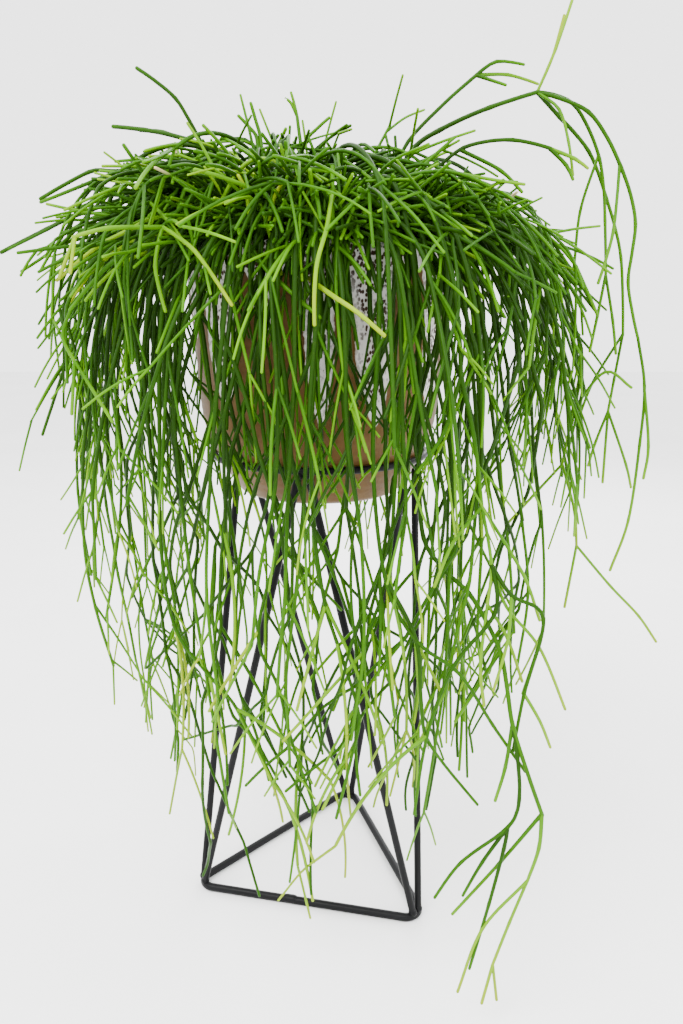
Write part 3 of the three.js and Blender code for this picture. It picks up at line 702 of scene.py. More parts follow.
growthRoom = {
    "stem": 0.6, "markSpacing": 5, "forkReach": 26, "lowestShoot": 9, "lowestTip": 60, "farthestTip": 285,
    "innerReach": 150, "outerRise": 3.6, "soil": 9, "rim": 14, "rimApproach": 78, "rimPassed": 132,
    "ring": 10, "pot": 7, "rodsTop": 111, "rodsFoot": 155,
}
ringHabit = {
    "centre": {"stems": 3, "rise": (66, 84), "reach": (150, 215), "fan": 120, "length": (330, 520)},
    "inner": {"stems": 3, "rise": (66, 82), "reach": (140, 200), "fan": 26, "length": (420, 640)},
    "outer": {"stems": 2, "rise": (52, 76), "reach": (95, 160), "fan": 9, "length": (380, 620)},
}
drapeHabit = {
    "stems": 1, "rise": (50, 78), "reach": (58, 150), "fan": 26, "length": (300, 520), "sideShare": 0.2,
    "plansTried": 120, "arching": {"length": (84, 108), "steps": 3},
    "hanging": {"length": (58, 90), "steps": 1, "bend": 0.006},
}
# in front and on the right, more and longer ones hang down past the stand
longDrapeHabit = {**drapeHabit, "stems": 4, "length": (560, 840)}
longDrapeSide = {"middle": -75, "reach": 80}
uprightHabit = {
    "shoots": 8, "lean": (15, 45), "turn": 15, "length": (90, 150), "steps": 3, "bend": 0.002, "first": 2,
}


class SeededDraws:
    # the small generator that the solids use, so that both grow alike
    def __init__(self, seed):
        self.state = seed

    def next(self):
        mask = 0xFFFFFFFF
        self.state = (self.state + 0x6D2B79F5) & mask
        t = self.state
        t = ((t ^ (t >> 15)) * (t | 1)) & mask
        t ^= (t + ((t ^ (t >> 7)) * (t | 61) & mask)) & mask
        return ((t ^ (t >> 14)) & mask) / 4294967296

    def between(self, low, high):
        return low + (high - low) * self.next()


class Marks:
    # places taken by stems, kept in a coarse grid of cells
    def __init__(self, spacing, cell=10.0):
        self.spacing = spacing
        self.cell = cell
        self.cells = {}

    def along(self, points):
        found = []
        for a, b in zip(points, points[1:]):
            count = max(1, math.ceil(distance(a, b) / self.spacing))
            for k in range(count):
                found.append(add(a, sub(b, a), k / count))
        found.append(points[-1])
        return found

    def key(self, place):
        return tuple(math.floor(value / self.cell) for value in place)

    def leave(self, points, radius, spray):
        for place in self.along(points):
            self.cells.setdefault(self.key(place), []).append((place, radius, spray))

    def near(self, mark):
        x, y, z = self.key(mark)
        for i in (x - 1, x, x + 1):
            for j in (y - 1, y, y + 1):
                for k in (z - 1, z, z + 1):
                    yield from self.cells.get((i, j, k), ())

    def areClear(self, points, radius, spray):
        sampling = self.spacing * self.spacing / 2
        for mark in self.along(points):
            nearFork = distance(mark, points[0]) < growthRoom["forkReach"]
            for place, other, owner in self.near(mark):
                if owner != spray or not nearFork:
                    reach = radius + other + growthRoom["stem"]
                    away = (mark[0] - place[0]) ** 2 + (mark[1] - place[1]) ** 2 + (mark[2] - place[2]) ** 2
                    if away < reach * reach + sampling:
                        return False
        return True


draws = SeededDraws(growthHabit["seed"])
marks = Marks(growthRoom["markSpacing"])


def keepOut(z):
    # the least distance from the axis that a hanging stem keeps at a height
    room = growthRoom
    ringTop = standSizes["ringHeight"] + room["ring"]
    ringFoot = standSizes["ringHeight"] - room["ring"]
    if z > potSizes["rim"] + room["pot"]:
        return 0.0
    if z > ringTop:
        height = min(z, potSizes["rim"] - potSizes["lipDrop"])
        return outlineRadius(potSizes["outline"], height) + room["pot"]
    if z > ringFoot:
        return room["rodsTop"]
    return room["rodsTop"] + (room["rodsFoot"] - room["rodsTop"]) * (ringFoot - z) / ringFoot


def pushedOut(x, y, z, least):
    away = math.hypot(x, y)
    if away < least:
        x *= least / away
        y *= least / away
    return (x, y, z)


def settled(place, way):
    x, y, z = place
    away = math.hypot(x, y)
    if not way["over"]:
        outer = away > growthRoom["rimApproach"]
        z = max(z, potSizes["rim"] + growthRoom["rim"] if outer else soilSizes["top"] + growthRoom["soil"])
        way["over"] = away > growthRoom["rimPassed"]
        return (x, y, float(z))
    return pushedOut(x, y, z, keepOut(z))


def grownRun(start, direction, length, steps, bend, keptOut, way, sway=(0, 0, 0)):
    # a run of a stem that bends down and sways, and that keptOut holds outside the pot and the stand
    points = []
    step = length / steps
    place = start
    heading = direction
    for i in range(steps):
        heading = unit(add(add(heading, up, -bend * step), sway, growthHabit["freeSway"] * step))
        following = keptOut(add(place, heading, step), way)
        heading = unit(sub(following, place))
        points.append(following)
        place = following
    return points, heading


def tipped(direction, angle, turn):
    level = (1.0, 0.0, 0.0) if abs(direction[2]) > 0.95 else up
    side = unit(cross(direction, level))
    over = cross(direction, side)
    tip = add(tuple(value * math.cos(angle) for value in direction), side, math.sin(angle) * math.cos(turn))
    return add(tip, over, math.sin(angle) * math.sin(turn))


def lowestAt(x, y, lowest):
    # stems that hang far out from the pot end higher up
    return lowest + growthRoom["outerRise"] * max(0.0, math.hypot(x, y) - growthRoom["innerReach"])


def inReach(path, lowest):
    return all(
        math.hypot(x, y) < growthRoom["farthestTip"] and z > lowestAt(x, y, lowest) for x, y, z in path
    )


def whorl(spray, node, heading, count, isYoung, over):
    habit = growthHabit
    start = draws.between(0, 2 * math.pi)
    for i in range(count):
        way = {"over": over}
        turn = start + 2 * math.pi * i / count + draws.between(-habit["turnJitter"], habit["turnJitter"])
        direction = tipped(heading, math.radians(draws.between(*habit["shootAngle"])), turn)
        length = draws.between(*habit["shootLength"]) * (habit["forkedLength"] if isYoung else 1)
        root = add(node, heading, -habit["nodeSink"] - habit["nodeStep"] * i)
        bend = draws.between(*habit["shootBend"])
        points, after = grownRun(root, direction, length, habit["shootSteps"], bend, settled, way)
        path = [root] + points
        radius = stemSizes["young" if isYoung else "side"]
        solid = radius * stemSizes["solidGrowth"]
        if inReach(path, growthRoom["lowestShoot"]) and marks.areClear(path, solid, spray["name"]):
            marks.leave(path, solid, spray["name"])
            age = stemAges["young" if isYoung else "side"]
            spray["stems"].append({"points": path, "first": radius, "last": stemSizes["tip"], "age": age})
            if not isYoung:
                forks = habit["forks"] if draws.next() < habit["forkedShare"] else 0
                whorl(spray, points[-1], after, forks, True, way["over"])


def nextInternode(spray, plan, start, heading, travelled, over):
    habit = growthHabit
    arching = travelled < plan["archLength"]
    kind = plan["arching" if arching else "hanging"]
    length = draws.between(*kind["length"])
    steps = kind["steps"]
    bend = plan["bend"] if arching else kind["bend"]
    for attempt in range(habit["kinksTried"]):
        way = {"over": over}
        kink = draws.between(*habit["firstKink" if travelled == 0 else "laterKink"])
        direction = tipped(heading, math.radians(kink), draws.between(0, 2 * math.pi))
        points, after = grownRun(start, direction, length, steps, bend, settled, way)
        solid = stemSizes["thick"] * stemSizes["solidGrowth"]
        path = [start] + points
        if inReach(points, growthRoom["lowestTip"]) and marks.areClear(path, solid, spray["name"]):
            return points, after, length, way["over"]
    return None


def longStem(spray, plan):
    path = [add(spray["start"], around(stemSizes["rootShift"], plan["towards"], 0))]
    nodes = []
    rise = math.radians(plan["rise"])
    heading = around(math.cos(rise), plan["towards"], math.sin(rise))
    over = False
    travelled = 0
    while travelled < plan["length"]:
        run = nextInternode(spray, plan, path[-1], heading, travelled, over)
        if not run:
            break
        points, heading, length, over = run
        path.extend(points)
        travelled += length
        nodes.append((path[-1], heading, over, len(path) - 1))
    if len(path) < growthHabit["fewestPoints"]:
        return False
    solid = stemSizes["thick"] * stemSizes["solidGrowth"]
    marks.leave(path, solid, spray["name"])
    joints = [node[3] for node in nodes]
    spray["stems"].append({
        "points": path, "first": stemSizes["thick"], "last": stemSizes["hanging"], "age": stemAges["long"],
        "joints": joints,
    })
    spray["nodes"].extend(nodes)
    for place, after, isOver, index in nodes:
        isLast = index == joints[-1]
        count = growthHabit["forks"] if isLast else (1 if draws.next() < plan["sideShare"] else 0)
        whorl(spray, place, after, count, isLast, isOver)
    return True


drawnRadii = (stemSizes["thick"], stemSizes["hanging"], stemSizes["young"])
drawnAges = ((0.95, 0.62), (0.7, 0.28), (0.45, 0.08), (0.3, 0.0))


def drawStems(spray, rows):
    made = []
    for parent, at, thick, age, steps, through in rows:
        order = 0
        start = spray["start"]
        if parent >= 0:
            above, order = made[parent]
            order += 1
            back = unit(sub(above[at - 1], above[at]))
            start = add(above[at], back, growthHabit["nodeSink"])
        chosen = [start] + through
        made.append((chosen, order))
        path = smoothOutline(chosen, steps)
        first = thick or drawnRadii[min(order, 2)]
        last = min(first, stemSizes["young"] if order > 0 else stemSizes["hanging"])
        marks.leave(path, first * stemSizes["solidGrowth"], spray["name"])
        joints = [i * steps for i in range(1, len(chosen))]
        # stems with given ages take no painted shade
        spray["stems"].append({
            "points": path, "first": first, "last": last, "age": age or drawnAges[min(order, 3)],
            "joints": joints, "drawn": True, "bright": age is not None,
        })


# Stems that give the plant its outline, each through given places. Each row: the row of its
# parent in the same list (-1 for the root crown) and the parent's place that it starts at, its width and
# ages where they aren't the usual ones, its steps from place to place, and the places.
drawnStems = {
    "spray_outer_4": [
        (-1, 0, 2.5, None, 2, [(67, -15, 668), (78, -17, 714), (104, -21, 734), (146, -28, 751),
         (186, -35, 762)]),
        (0, 5, 1.4, (0.3, 0.0), 2, [(198, -30, 795), (212, -25, 838), (220, -22, 866)]),
        (0, 5, 1.2, (0.25, 0.0), 1, [(193, -40, 785), (201, -42, 818)]),
        (0, 5, 1.3, (0.6, 0.2), 1, [(200, -46, 746), (208, -52, 720), (213, -54, 693)]),
        (0, 5, 1.8, None, 2, [(224, -47, 744), (252, -55, 700), (266, -60, 655), (263, -62, 608),
         (275, -64, 560)]),
        (4, 2, None, None, 2, [(246, -66, 648), (234, -74, 606)]),
        (4, 5, None, None, 1, [(283, -66, 520), (283, -66, 470), (280, -62, 400), (268, -58, 350)]),
        (6, 1, None, None, 1, [(288, -74, 470), (286, -74, 440)]),
        (0, 5, 1.8, None, 2, [(214, -36, 752), (240, -32, 710), (249, -30, 660), (252, -34, 612)]),
        (8, 2, None, None, 1, [(228, -26, 668), (226, -24, 620), (222, -22, 590), (238, -22, 545),
         (233, -24, 492), (226, -26, 442)]),
        (9, 5, None, None, 1, [(258, -32, 530), (282, -38, 516)]),
        (9, 6, None, None, 1, [(198, -36, 416), (175, -45, 393)]),
        (9, 6, None, None, 1, [(240, -28, 400), (244, -30, 364)]),
        (12, 2, None, None, 1, [(235, -34, 305)]),
        (12, 2, None, None, 1, [(280, -24, 325), (312, -20, 292), (334, -16, 262)]),
        (8, 4, None, None, 1, [(246, -38, 580), (240, -42, 548)]),
        (8, 4, None, None, 1, [(262, -30, 576), (268, -28, 545)]),
        (0, 5, 1.9, None, 2, [(206, -24, 744), (234, -18, 718), (254, -12, 680), (272, -8, 630),
         (280, -6, 560)]),
        (17, 5, None, None, 1, [(256, -6, 520), (243, -8, 483)]),
        (17, 5, None, None, 1, [(276, -2, 520), (273, 0, 488)]),
        (19, 2, None, None, 1, [(264, 2, 460), (259, 4, 436)]),
        (19, 2, None, None, 1, [(275, 6, 419)]),
        (19, 2, None, None, 1, [(294, 0, 440), (302, 2, 415)]),
    ],
    "spray_outer_5": [
        (-1, 0, 1.7, None, 2, [(66, 14, 675), (80, 12, 730), (142, 20, 788)]),
        (0, 3, None, None, 2, [(158, 22, 798), (184, 25, 796)]),
        (0, 3, None, (0.5, 0.1), 2, [(170, 30, 789), (199, 34, 782)]),
        (0, 3, None, None, 1, [(166, 10, 776)]),
    ],
    "spray_outer_3": [
        (-1, 0, 1.6, None, 2, [(70, -52, 660), (92, -58, 690), (120, -62, 714), (160, -62, 720),
         (193, -62, 713)]),
        (0, 3, None, None, 1, [(150, -68, 696), (168, -74, 678)]),
        (0, 5, None, (0.4, 0.05), 1, [(212, -60, 706), (224, -60, 698)]),
        (0, 5, None, None, 1, [(204, -66, 700), (210, -68, 688)]),
    ],
    "spray_outer_13": [
        (-1, 0, 2.2, None, 2, [(-60, -58, 664), (-75, -88, 684), (-94, -120, 669), (-113, -148, 645)]),
        (0, 4, 1.8, (0.5, 0.12), 2, [(-146, -172, 644), (-170, -180, 637)]),
        (1, 2, None, (0.1, 0.0), 1, [(-180, -184, 609)]),
        (1, 2, None, (0.08, 0.0), 1, [(-170, -190, 612)]),
        (0, 4, None, None, 2, [(-150, -160, 619), (-180, -166, 586)]),
        (4, 2, None, None, 1, [(-186, -166, 568), (-177, -168, 548)]),
        (5, 2, None, None, 1, [(-182, -172, 510)]),
        (5, 2, None, None, 1, [(-150, -176, 505)]),
        (0, 4, None, (0.5, 0.3), 2, [(-116, -160, 618), (-109, -164, 585)]),
        (0, 4, None, (0.35, 0.0), 2, [(-84, -174, 628), (-57, -186, 590)]),
    ],
    "spray_outer_12": [
        (-1, 0, 1.9, None, 2, [(-78, -16, 670), (-125, -20, 688), (-197, -32, 668), (-232, -42, 652),
         (-270, -52, 632)]),
        (0, 3, None, None, 2, [(-214, -58, 640), (-246, -74, 616)]),
    ],
    "spray_outer_11": [
        (-1, 0, 1.8, None, 2, [(-80, 16, 680), (-125, 12, 708), (-182, 8, 705), (-205, 5, 704),
         (-250, 0, 680)]),
        (0, 2, None, None, 2, [(-160, 22, 716), (-188, 30, 716)]),
    ],
    "spray_outer_14": [
        (-1, 0, 2.1, None, 2, [(-38, -68, 660), (-56, -90, 696), (-104, -62, 720), (-144, -42, 731),
         (-173, -34, 735)]),
        (0, 2, None, (0.15, 0.0), 1, [(-48, -106, 688), (-34, -118, 670)]),
        (0, 2, None, (0.12, 0.0), 1, [(-58, -106, 690), (-56, -114, 676)]),
        (0, 2, None, (0.6, 0.15), 2, [(-42, -128, 668), (-24, -150, 612)]),
    ],
    "spray_outer_10": [
        (-1, 0, 1.8, None, 2, [(-66, 40, 680), (-104, 26, 728), (-128, 22, 768), (-162, 20, 793)]),
        (0, 2, None, None, 1, [(-142, 34, 742), (-166, 40, 744)]),
    ],
    "spray_inner_1": [
        (-1, 0, 2.5, None, 2, [(4, -44, 668), (20, -66, 698), (50, -98, 701), (82, -138, 668),
         (102, -170, 606), (108, -184, 538)]),
        (0, 6, None, None, 1, [(96, -188, 500), (76, -194, 470)]),
        (0, 6, 2, None, 1, [(118, -190, 496), (126, -192, 442)]),
        (2, 2, None, None, 1, [(104, -198, 418), (90, -202, 384)]),
        (2, 2, None, None, 1, [(134, -194, 400), (132, -196, 366)]),
        (4, 2, None, None, 1, [(150, -190, 338), (164, -188, 300)]),
        (4, 2, None, None, 1, [(128, -200, 320), (132, -202, 286)]),
        (2, 2, None, None, 1, [(160, -186, 390), (176, -184, 350)]),
    ],
    "spray_outer_2": [
        (-1, 0, 2.2, None, 2, [(38, -80, 672), (58, -124, 682), (74, -150, 620), (80, -158, 520),
         (86, -156, 410), (120, -180, 372), (144, -198, 328), (154, -208, 272), (180, -214, 197)]),
        (0, 7, None, None, 1, [(126, -188, 292), (112, -182, 262)]),
        (0, 8, None, None, 1, [(150, -206, 236), (143, -206, 205)]),
        (0, 9, 1.8, (0.5, 0.25), 1, [(178, -216, 170), (170, -216, 138)]),
        (3, 2, None, (0.28, 0.06), 1, [(158, -214, 98), (146, -212, 54)]),
        (4, 2, None, (0.12, 0.0), 1, [(152, -210, 18)]),
        (4, 2, None, (0.12, 0.0), 1, [(138, -216, 20)]),
        (3, 2, None, (0.3, 0.03), 1, [(136, -214, 92), (118, -212, 28)]),
        (0, 9, None, None, 1, [(150, -206, 150), (112, -204, 98)]),
    ],
}


# circles of root crowns round the one at the centre: how many there are, and how far out
rootCircles = {"inner": (7, 34), "outer": (14, 66)}


def rootPlaces():
    places = [{"name": "spray_centre", "towards": -90, "radius": 0, "ring": "centre"}]
    for ring, (count, radius) in rootCircles.items():
        for i in range(count):
            towards = -90 + 360 * i / count
            places.append(
                {"name": f"spray_{ring}_{i + 1}", "towards": towards, "radius": radius, "ring": ring}
            )
    return places


def plannedStem(spray, how, towards, jitter, habit):
    # one try at a long stem of a kind, in the order of draws that the solids use
    reach = draws.between(*how["reach"])
    plan = {"rise": draws.between(*how["rise"])}
    plan["towards"] = towards + draws.between(-jitter, jitter)
    plan["bend"] = growthHabit["archAngle"] / reach
    plan["archLength"] = reach * growthHabit["archShare"]
    plan["length"] = draws.between(*how["length"])
    plan.update(arching=habit["arching"], hanging=habit["hanging"], sideShare=habit["sideShare"])
    return longStem(spray, plan)


def growLongStems(spray):
    how = ringHabit[spray["ring"]]
    count = how["stems"] - 1 if spray["name"] in drawnStems and spray["ring"] == "inner" else how["stems"]
    for i in range(count):
        towards = spray["towards"] + how["fan"] * (2 * i / (count - 1) - 1)
        for attempt in range(growthHabit["plansTried"]):
            if plannedStem(spray, how, towards, growthHabit["fanJitter"], growthHabit):
                break


def growDrape(spray):
    fromMiddle = abs((spray["towards"] - longDrapeSide["middle"] + 540) % 360 - 180)
    habit = longDrapeHabit if fromMiddle < longDrapeSide["reach"] else drapeHabit
    grew = 0
    for attempt in range(habit["plansTried"]):
        if plannedStem(spray, habit, spray["towards"], habit["fan"], habit):
            grew += 1
        if grew == habit["stems"]:
            break


def growUprights(centre):
    habit = uprightHabit
    for i in range(habit["shoots"]):
        lean = math.radians(draws.between(*habit["lean"]))
        towards = 360 * i / habit["shoots"] + draws.between(-habit["turn"], habit["turn"])
        direction = around(math.sin(lean), towards, math.cos(lean))
        length = draws.between(*habit["length"])
        root = add(centre["start"], around(stemSizes["rootShift"], towards, 0))
        way = {"over": False}
        points, after = grownRun(root, direction, length, habit["steps"], habit["bend"], settled, way)
        path = [root] + points
        solid = habit["first"] * stemSizes["solidGrowth"]
        if marks.areClear(path, solid, centre["name"]):
            marks.leave(path, solid, centre["name"])
            stem = {
                "points": path, "first": habit["first"], "last": stemSizes["young"],
                "age": stemAges["upright"],
            }
            centre["stems"].append(stem)
            whorl(centre, path[-1], after, growthHabit["forks"], True, False)


def growSprays():
    made = []
    for root in rootPlaces():
        start = around(root["radius"], root["towards"], soilSizes["top"] + stemSizes["rootLift"])
        made.append({**root, "start": start, "stems": [], "nodes": []})
    for spray in made:
        below = (spray["start"][0], spray["start"][1], float(soilSizes["top"] - soilSizes["holeDepth"]))
        marks.leave([below, spray["start"]], stemSizes["crownRadius"], spray["name"])
        drawStems(spray, drawnStems.get(spray["name"], ()))
    for spray in made:
        growLongStems(spray)
    growUprights(made[0])
    for spray in made[1:]:
        growDrape(spray)
    return made


# How a stem's tube is drawn: darker with painted shade beside the pot and in the crown, thinner where it
# hangs, swollen at its joints.
# Close and loose detail: sides of the tube, and length of its pieces.
# painted shade: the heights and the amounts added to the stems' ages, for the crown's shadow on the stems
# round the pot
tubeShape = {
    "paintedShadeHeights": [390, 470, 580, 660], "paintedShades": [0.05, 0.3, 0.31, 0.19], "swollen": 1.13, "slim": 0.94,
    "hungWidth": 0.82, "hungFrom": 470, "hungOver": 170, "ageing": 1.25, "stockTaper": 0.9, "close": (8, 6),
    "loose": (6, 8), "tipReach": (1.0, 0.5, 0.16, 0.0), "tipWidths": (1.0, 0.9, 0.62, 0.22),
    "dryTip": [0.5, 0.8, 0.9, 0.9, 0.9],
}


def hungWidth(z):
    thin = tubeShape["hungWidth"]
    return thin + (1 - thin) * limited((z - tubeShape["hungFrom"]) / tubeShape["hungOver"])


# From a stem's places to the fine path of its tube.
def finePath(stem, step):
    shape = tubeShape
    points = stem["points"]
    last = len(points) - 1
    joints = set(stem.get("joints", ()))
    line = [points[0]]
    shares = [0.0]
    swell = [1.0]
    for i in range(last):
        a, b = points[i], points[i + 1]
        before = points[i - 1] if i else add(a, sub(b, a), -1)
        after = points[i + 2] if i + 2 <= last else add(b, sub(b, a))
        pieces = max(1, round(distance(a, b) / step))
        for k in range(1, pieces + 1):
            line.append(splined(k / pieces, before, a, b, after))
            shares.append((i + k / pieces) / last)
            swell.append(shape["swollen"] if k == pieces and i + 1 in joints and i + 1 < last else 1.0)
    taper = stem["last"] - stem["first"]
    hung = [1.0 if stem.get("drawn") else shape["slim"] * hungWidth(place[2]) for place in line]
    widths = [
        (stem["first"] + taper * share) * grow * thin for share, grow, thin in zip(shares, swell, hung)
    ]
    # blunt rounded tip
    end = line[-1]
    back = unit(sub(line[-2], end))
    radius = widths[-1]
    line[-1:] = [add(end, back, radius * reach) for reach in shape["tipReach"]]
    widths[-1:] = [radius * share for share in shape["tipWidths"]]
    shares[-1:] = [1.0] * len(shape["tipWidths"])
    old, young = stem["age"]
    # painted shade by height, darkest beside the pot under the crown; stems with given ages take none
    paintedShades = [0.0] * len(line)
    if not stem.get("bright"):
        paintedShades = [float(np.interp(place[2], shape["paintedShadeHeights"], shape["paintedShades"])) for place in line]
    ages = [old + (young - old) * share ** shape["ageing"] + shade for share, shade in zip(shares, paintedShades)]
    dry = [0.0] * len(line)
    if stem.get("dry"):
        count = min(len(shape["dryTip"]), len(line))
        dry[-count:] = shape["dryTip"][-count:]
    return {"points": line, "width": [value / 1000 for value in widths], "age": ages, "dry": dry}


greenStem = stemMaterial()


def stemPiece(name, stems, detail, *nodes):
    sides, step = tubeShape[detail]
    paths = [finePath(stem, step) for stem in stems]
    settle(tubes(name, paths, greenStem, sides, ("width", "age", "dry")), "stem", *nodes)


grown = growSprays()
for spray in grown:
    # the root crown, a short stock that the stems rise from
    x, y, z = spray["start"]
    top = soilSizes["top"]
    stock = {
        "points": [(x, y, top - soilSizes["holeDepth"]), (x, y, top), (x, y, top + stemSizes["crownRise"])],
        "first": stemSizes["crownRadius"], "last": stemSizes["crownRadius"] * tubeShape["stockTaper"],
        "age": (1.0, 1.0),
    }
    name = spray["name"].replace("spray_", "spray").replace("_", "")
    stemPiece(name, [stock] + spray["stems"], "close", spray["name"])
print("sprays", len(grown), "stems", sum(len(spray["stems"]) for spray in grown))


# Finer growth between the sprays: crown stems in all directions, and shoots along the long stems.
rng = np.random.default_rng(7)
crownHabit = {
    "stems": 600, "rootReach": 97, "rootSink": 1.0, "rise": (44, 88), "riseCurve": 0.7, "spread": 50,
    "middle": 35, "middleSpread": 1.6, "reach": (60, 185), "stretch": (0.85, 1.25), "hang": (0, 90),
    "leftReach": 1.12, "farEvery": 5, "farSides": [(140, 240), (-60, 30), (150, 230)],
    "farReach": (130, 225), "nodeGap": (50, 92), "kink": (5, 28), "width": (1.6, 2.15), "bendJitter": 0.3,
    "archPassed": 1.1, "fewestPoints": 4, "hangingBend": 0.004, "taper": 0.72, "old": (0.78, 1.0),
    "young": (0.35, 0.6), "shoots": [0.12, 0.3, 0.38, 0.2], "margin": (4, 45), "lowest": (480, 600),
    "way": {"over": False, "proud": 6.0, "tries": 3},
}
shootHabit = {
    "angle": (16, 56), "length": (44, 96), "bend": (0.0008, 0.0065), "width": (1.35, 1.75),
    "taper": (0.78, 0.92), "hangingAngle": (12, 38), "hangingBend": (0.003, 0.010), "hangingBelow": 636,
    "proud": 9, "forkShare": 0.5, "threeShare": 0.3, "forkLength": (30, 74), "forkWidth": (1.15, 1.4),
    "forkAge": 0.12, "limeShare": 0.1, "limeYouth": 0.45, "youth": 0.08, "ageJitter": (-0.1, 0.1),
    "ageSpan": (0.2, 0.4), "dryShare": 0.006,
}
# more shoots at the joints of the long stems of the sprays
alongHabit = {
    "way": {"margin": 4, "lowest": 40, "proud": 6.0}, "age": 0.55,
    "upper": [0.35, 0.4, 0.25], "upperFrom": 520, "lower": [0.7, 0.25, 0.05],
}
hangingHabit = {
    "stems": 16, "turn": (-8, 8), "fan": 16, "rise": (40, 80), "reach": (105, 185), "length": (300, 520),
    "lowest": (300, 470), "margin": (6, 60), "width": (1.7, 2.1), "way": {"proud": 6.0},
}
veilHabit = {
    "stems": 135, "allRoundEvery": 3, "middle": -92, "spread": 52, "rootReach": (58, 97), "fan": 18,
    "rise": (38, 74), "reach": (36, 84), "length": (230, 460), "lowest": (370, 540), "margin": (2, 30),
    "width": (1.35, 1.8), "way": {"proud": 6.0, "farthest": 196, "tries": 8, "kink": (8, 36), "stout": 0.92},
}
trailingHabit = {
    "stems": 54, "from": -126, "to": -56, "rootReach": (62, 97), "fan": 12, "rise": (40, 72),
    "reach": (24, 66), "length": (760, 1060), "lowest": (30, 200), "margin": (2, 26), "width": (2.1, 2.5),
    "way": {
        "proud": 6.0, "kink": (10, 30), "stretch": 1.6, "young": (0.66, 0.9), "farthest": 190,
        "shoots": [0.36, 0.42, 0.18, 0.04], "stout": 1.22, "bareAbove": 900, "tries": 12,
    },
}
rightTrailingHabit = {
    **trailingHabit, "stems": 27, "from": -64, "to": -20, "margin": (8, 48), "lowest": (20, 110),
    "way": {**trailingHabit["way"], "farthest": 226, "bareAbove": 420, "shoots": [0.2, 0.42, 0.28, 0.1]},
}
shoulderHabit = {
    "stems": 46, "sides": [(142, 222), (-50, 28)], "rootReach": (50, 97), "fan": 22, "rise": (30, 64),
    "reach": (115, 205), "hang": (20, 110), "lowest": (150, 360), "margin": (10, 70), "width": (1.5, 2.0),
    "way": {"proud": 3.0, "tries": 4},
}
# stems that stand out: ages at the root and the tip, width, and places
accents = [
    ((0.35, 0.02), 1.9, [(14, -135, 676), (13, -160, 663), (10, -188, 642), (4, -204, 620), (2, -210, 598),
     (2, -212, 577)]),
    ((0.12, 0.0), 2.2, [(-4, -140, 610), (3, -168, 605), (15, -194, 597), (32, -208, 586),
     (51, -212, 570)]),
    ((0.55, 0.25), 1.9, [(14, -140, 690), (14, -150, 655), (15, -152, 627), (15, -152, 597)]),
    ((0.8, 0.5), 1.9, [(-45, -50, 696), (-47, -42, 724), (-51, -40, 739), (-55, -40, 753)]),
    ((0.8, 0.5), 1.9, [(-49, -48, 700), (-50, -42, 724), (-57, -40, 734), (-66, -40, 743)]),
    ((0.8, 0.6), 1.9, [(-10, -40, 694), (-15, -32, 729), (-17, -30, 745)]),
    ((0.6, 0.3), 1.5, [(-17, -30, 744), (-22, -30, 754), (-27, -30, 758)]),
    ((0.6, 0.3), 1.5, [(-17, -30, 744), (-19, -30, 753), (-22, -30, 763)]),
    ((0.75, 0.5), 1.9, [(-22, -30, 694), (-11, -22, 724), (0, -20, 736), (11, -20, 745)]),
    ((1.0, 0.8), 2.3, [(8, -60, 668), (29, -60, 696), (56, -62, 705), (85, -64, 700), (110, -70, 682)]),
    ((1.0, 0.75), 2.2, [(18, -66, 664), (46, -66, 691), (73, -68, 696), (102, -72, 686), (128, -78, 662)]),
    ((0.4, 0.0), 1.9, [(-80, -100, 652), (-121, -112, 656), (-141, -116, 648), (-171, -120, 632),
     (-202, -122, 608)]),
    ((0.3, 0.0), 1.9, [(-84, -96, 640), (-123, -104, 645), (-148, -108, 636), (-173, -112, 619),
     (-195, -114, 592)]),
    ((0.2, 0.0), 1.9, [(-34, -136, 652), (-29, -140, 668), (-22, -142, 679)]),
    ((0.25, 0.0), 1.9, [(-48, -136, 652), (-50, -140, 672), (-56, -142, 684)]),
    ((0.5, 0.05), 1.9, [(134, -194, 400), (147, -194, 366), (175, -192, 331), (199, -190, 277)]),
    ((0.35, 0.02), 1.9, [(163, -200, 296), (177, -199, 272), (187, -198, 248)]),
    ((0.4, 0.05), 1.9, [(150, -196, 376), (148, -200, 340), (138, -204, 300)]),
    ((0.35, 0.05), 1.9, [(-76, -116, 660), (-56, -122, 690), (-39, -124, 697), (-22, -126, 690),
     (-2, -128, 668)]),
]
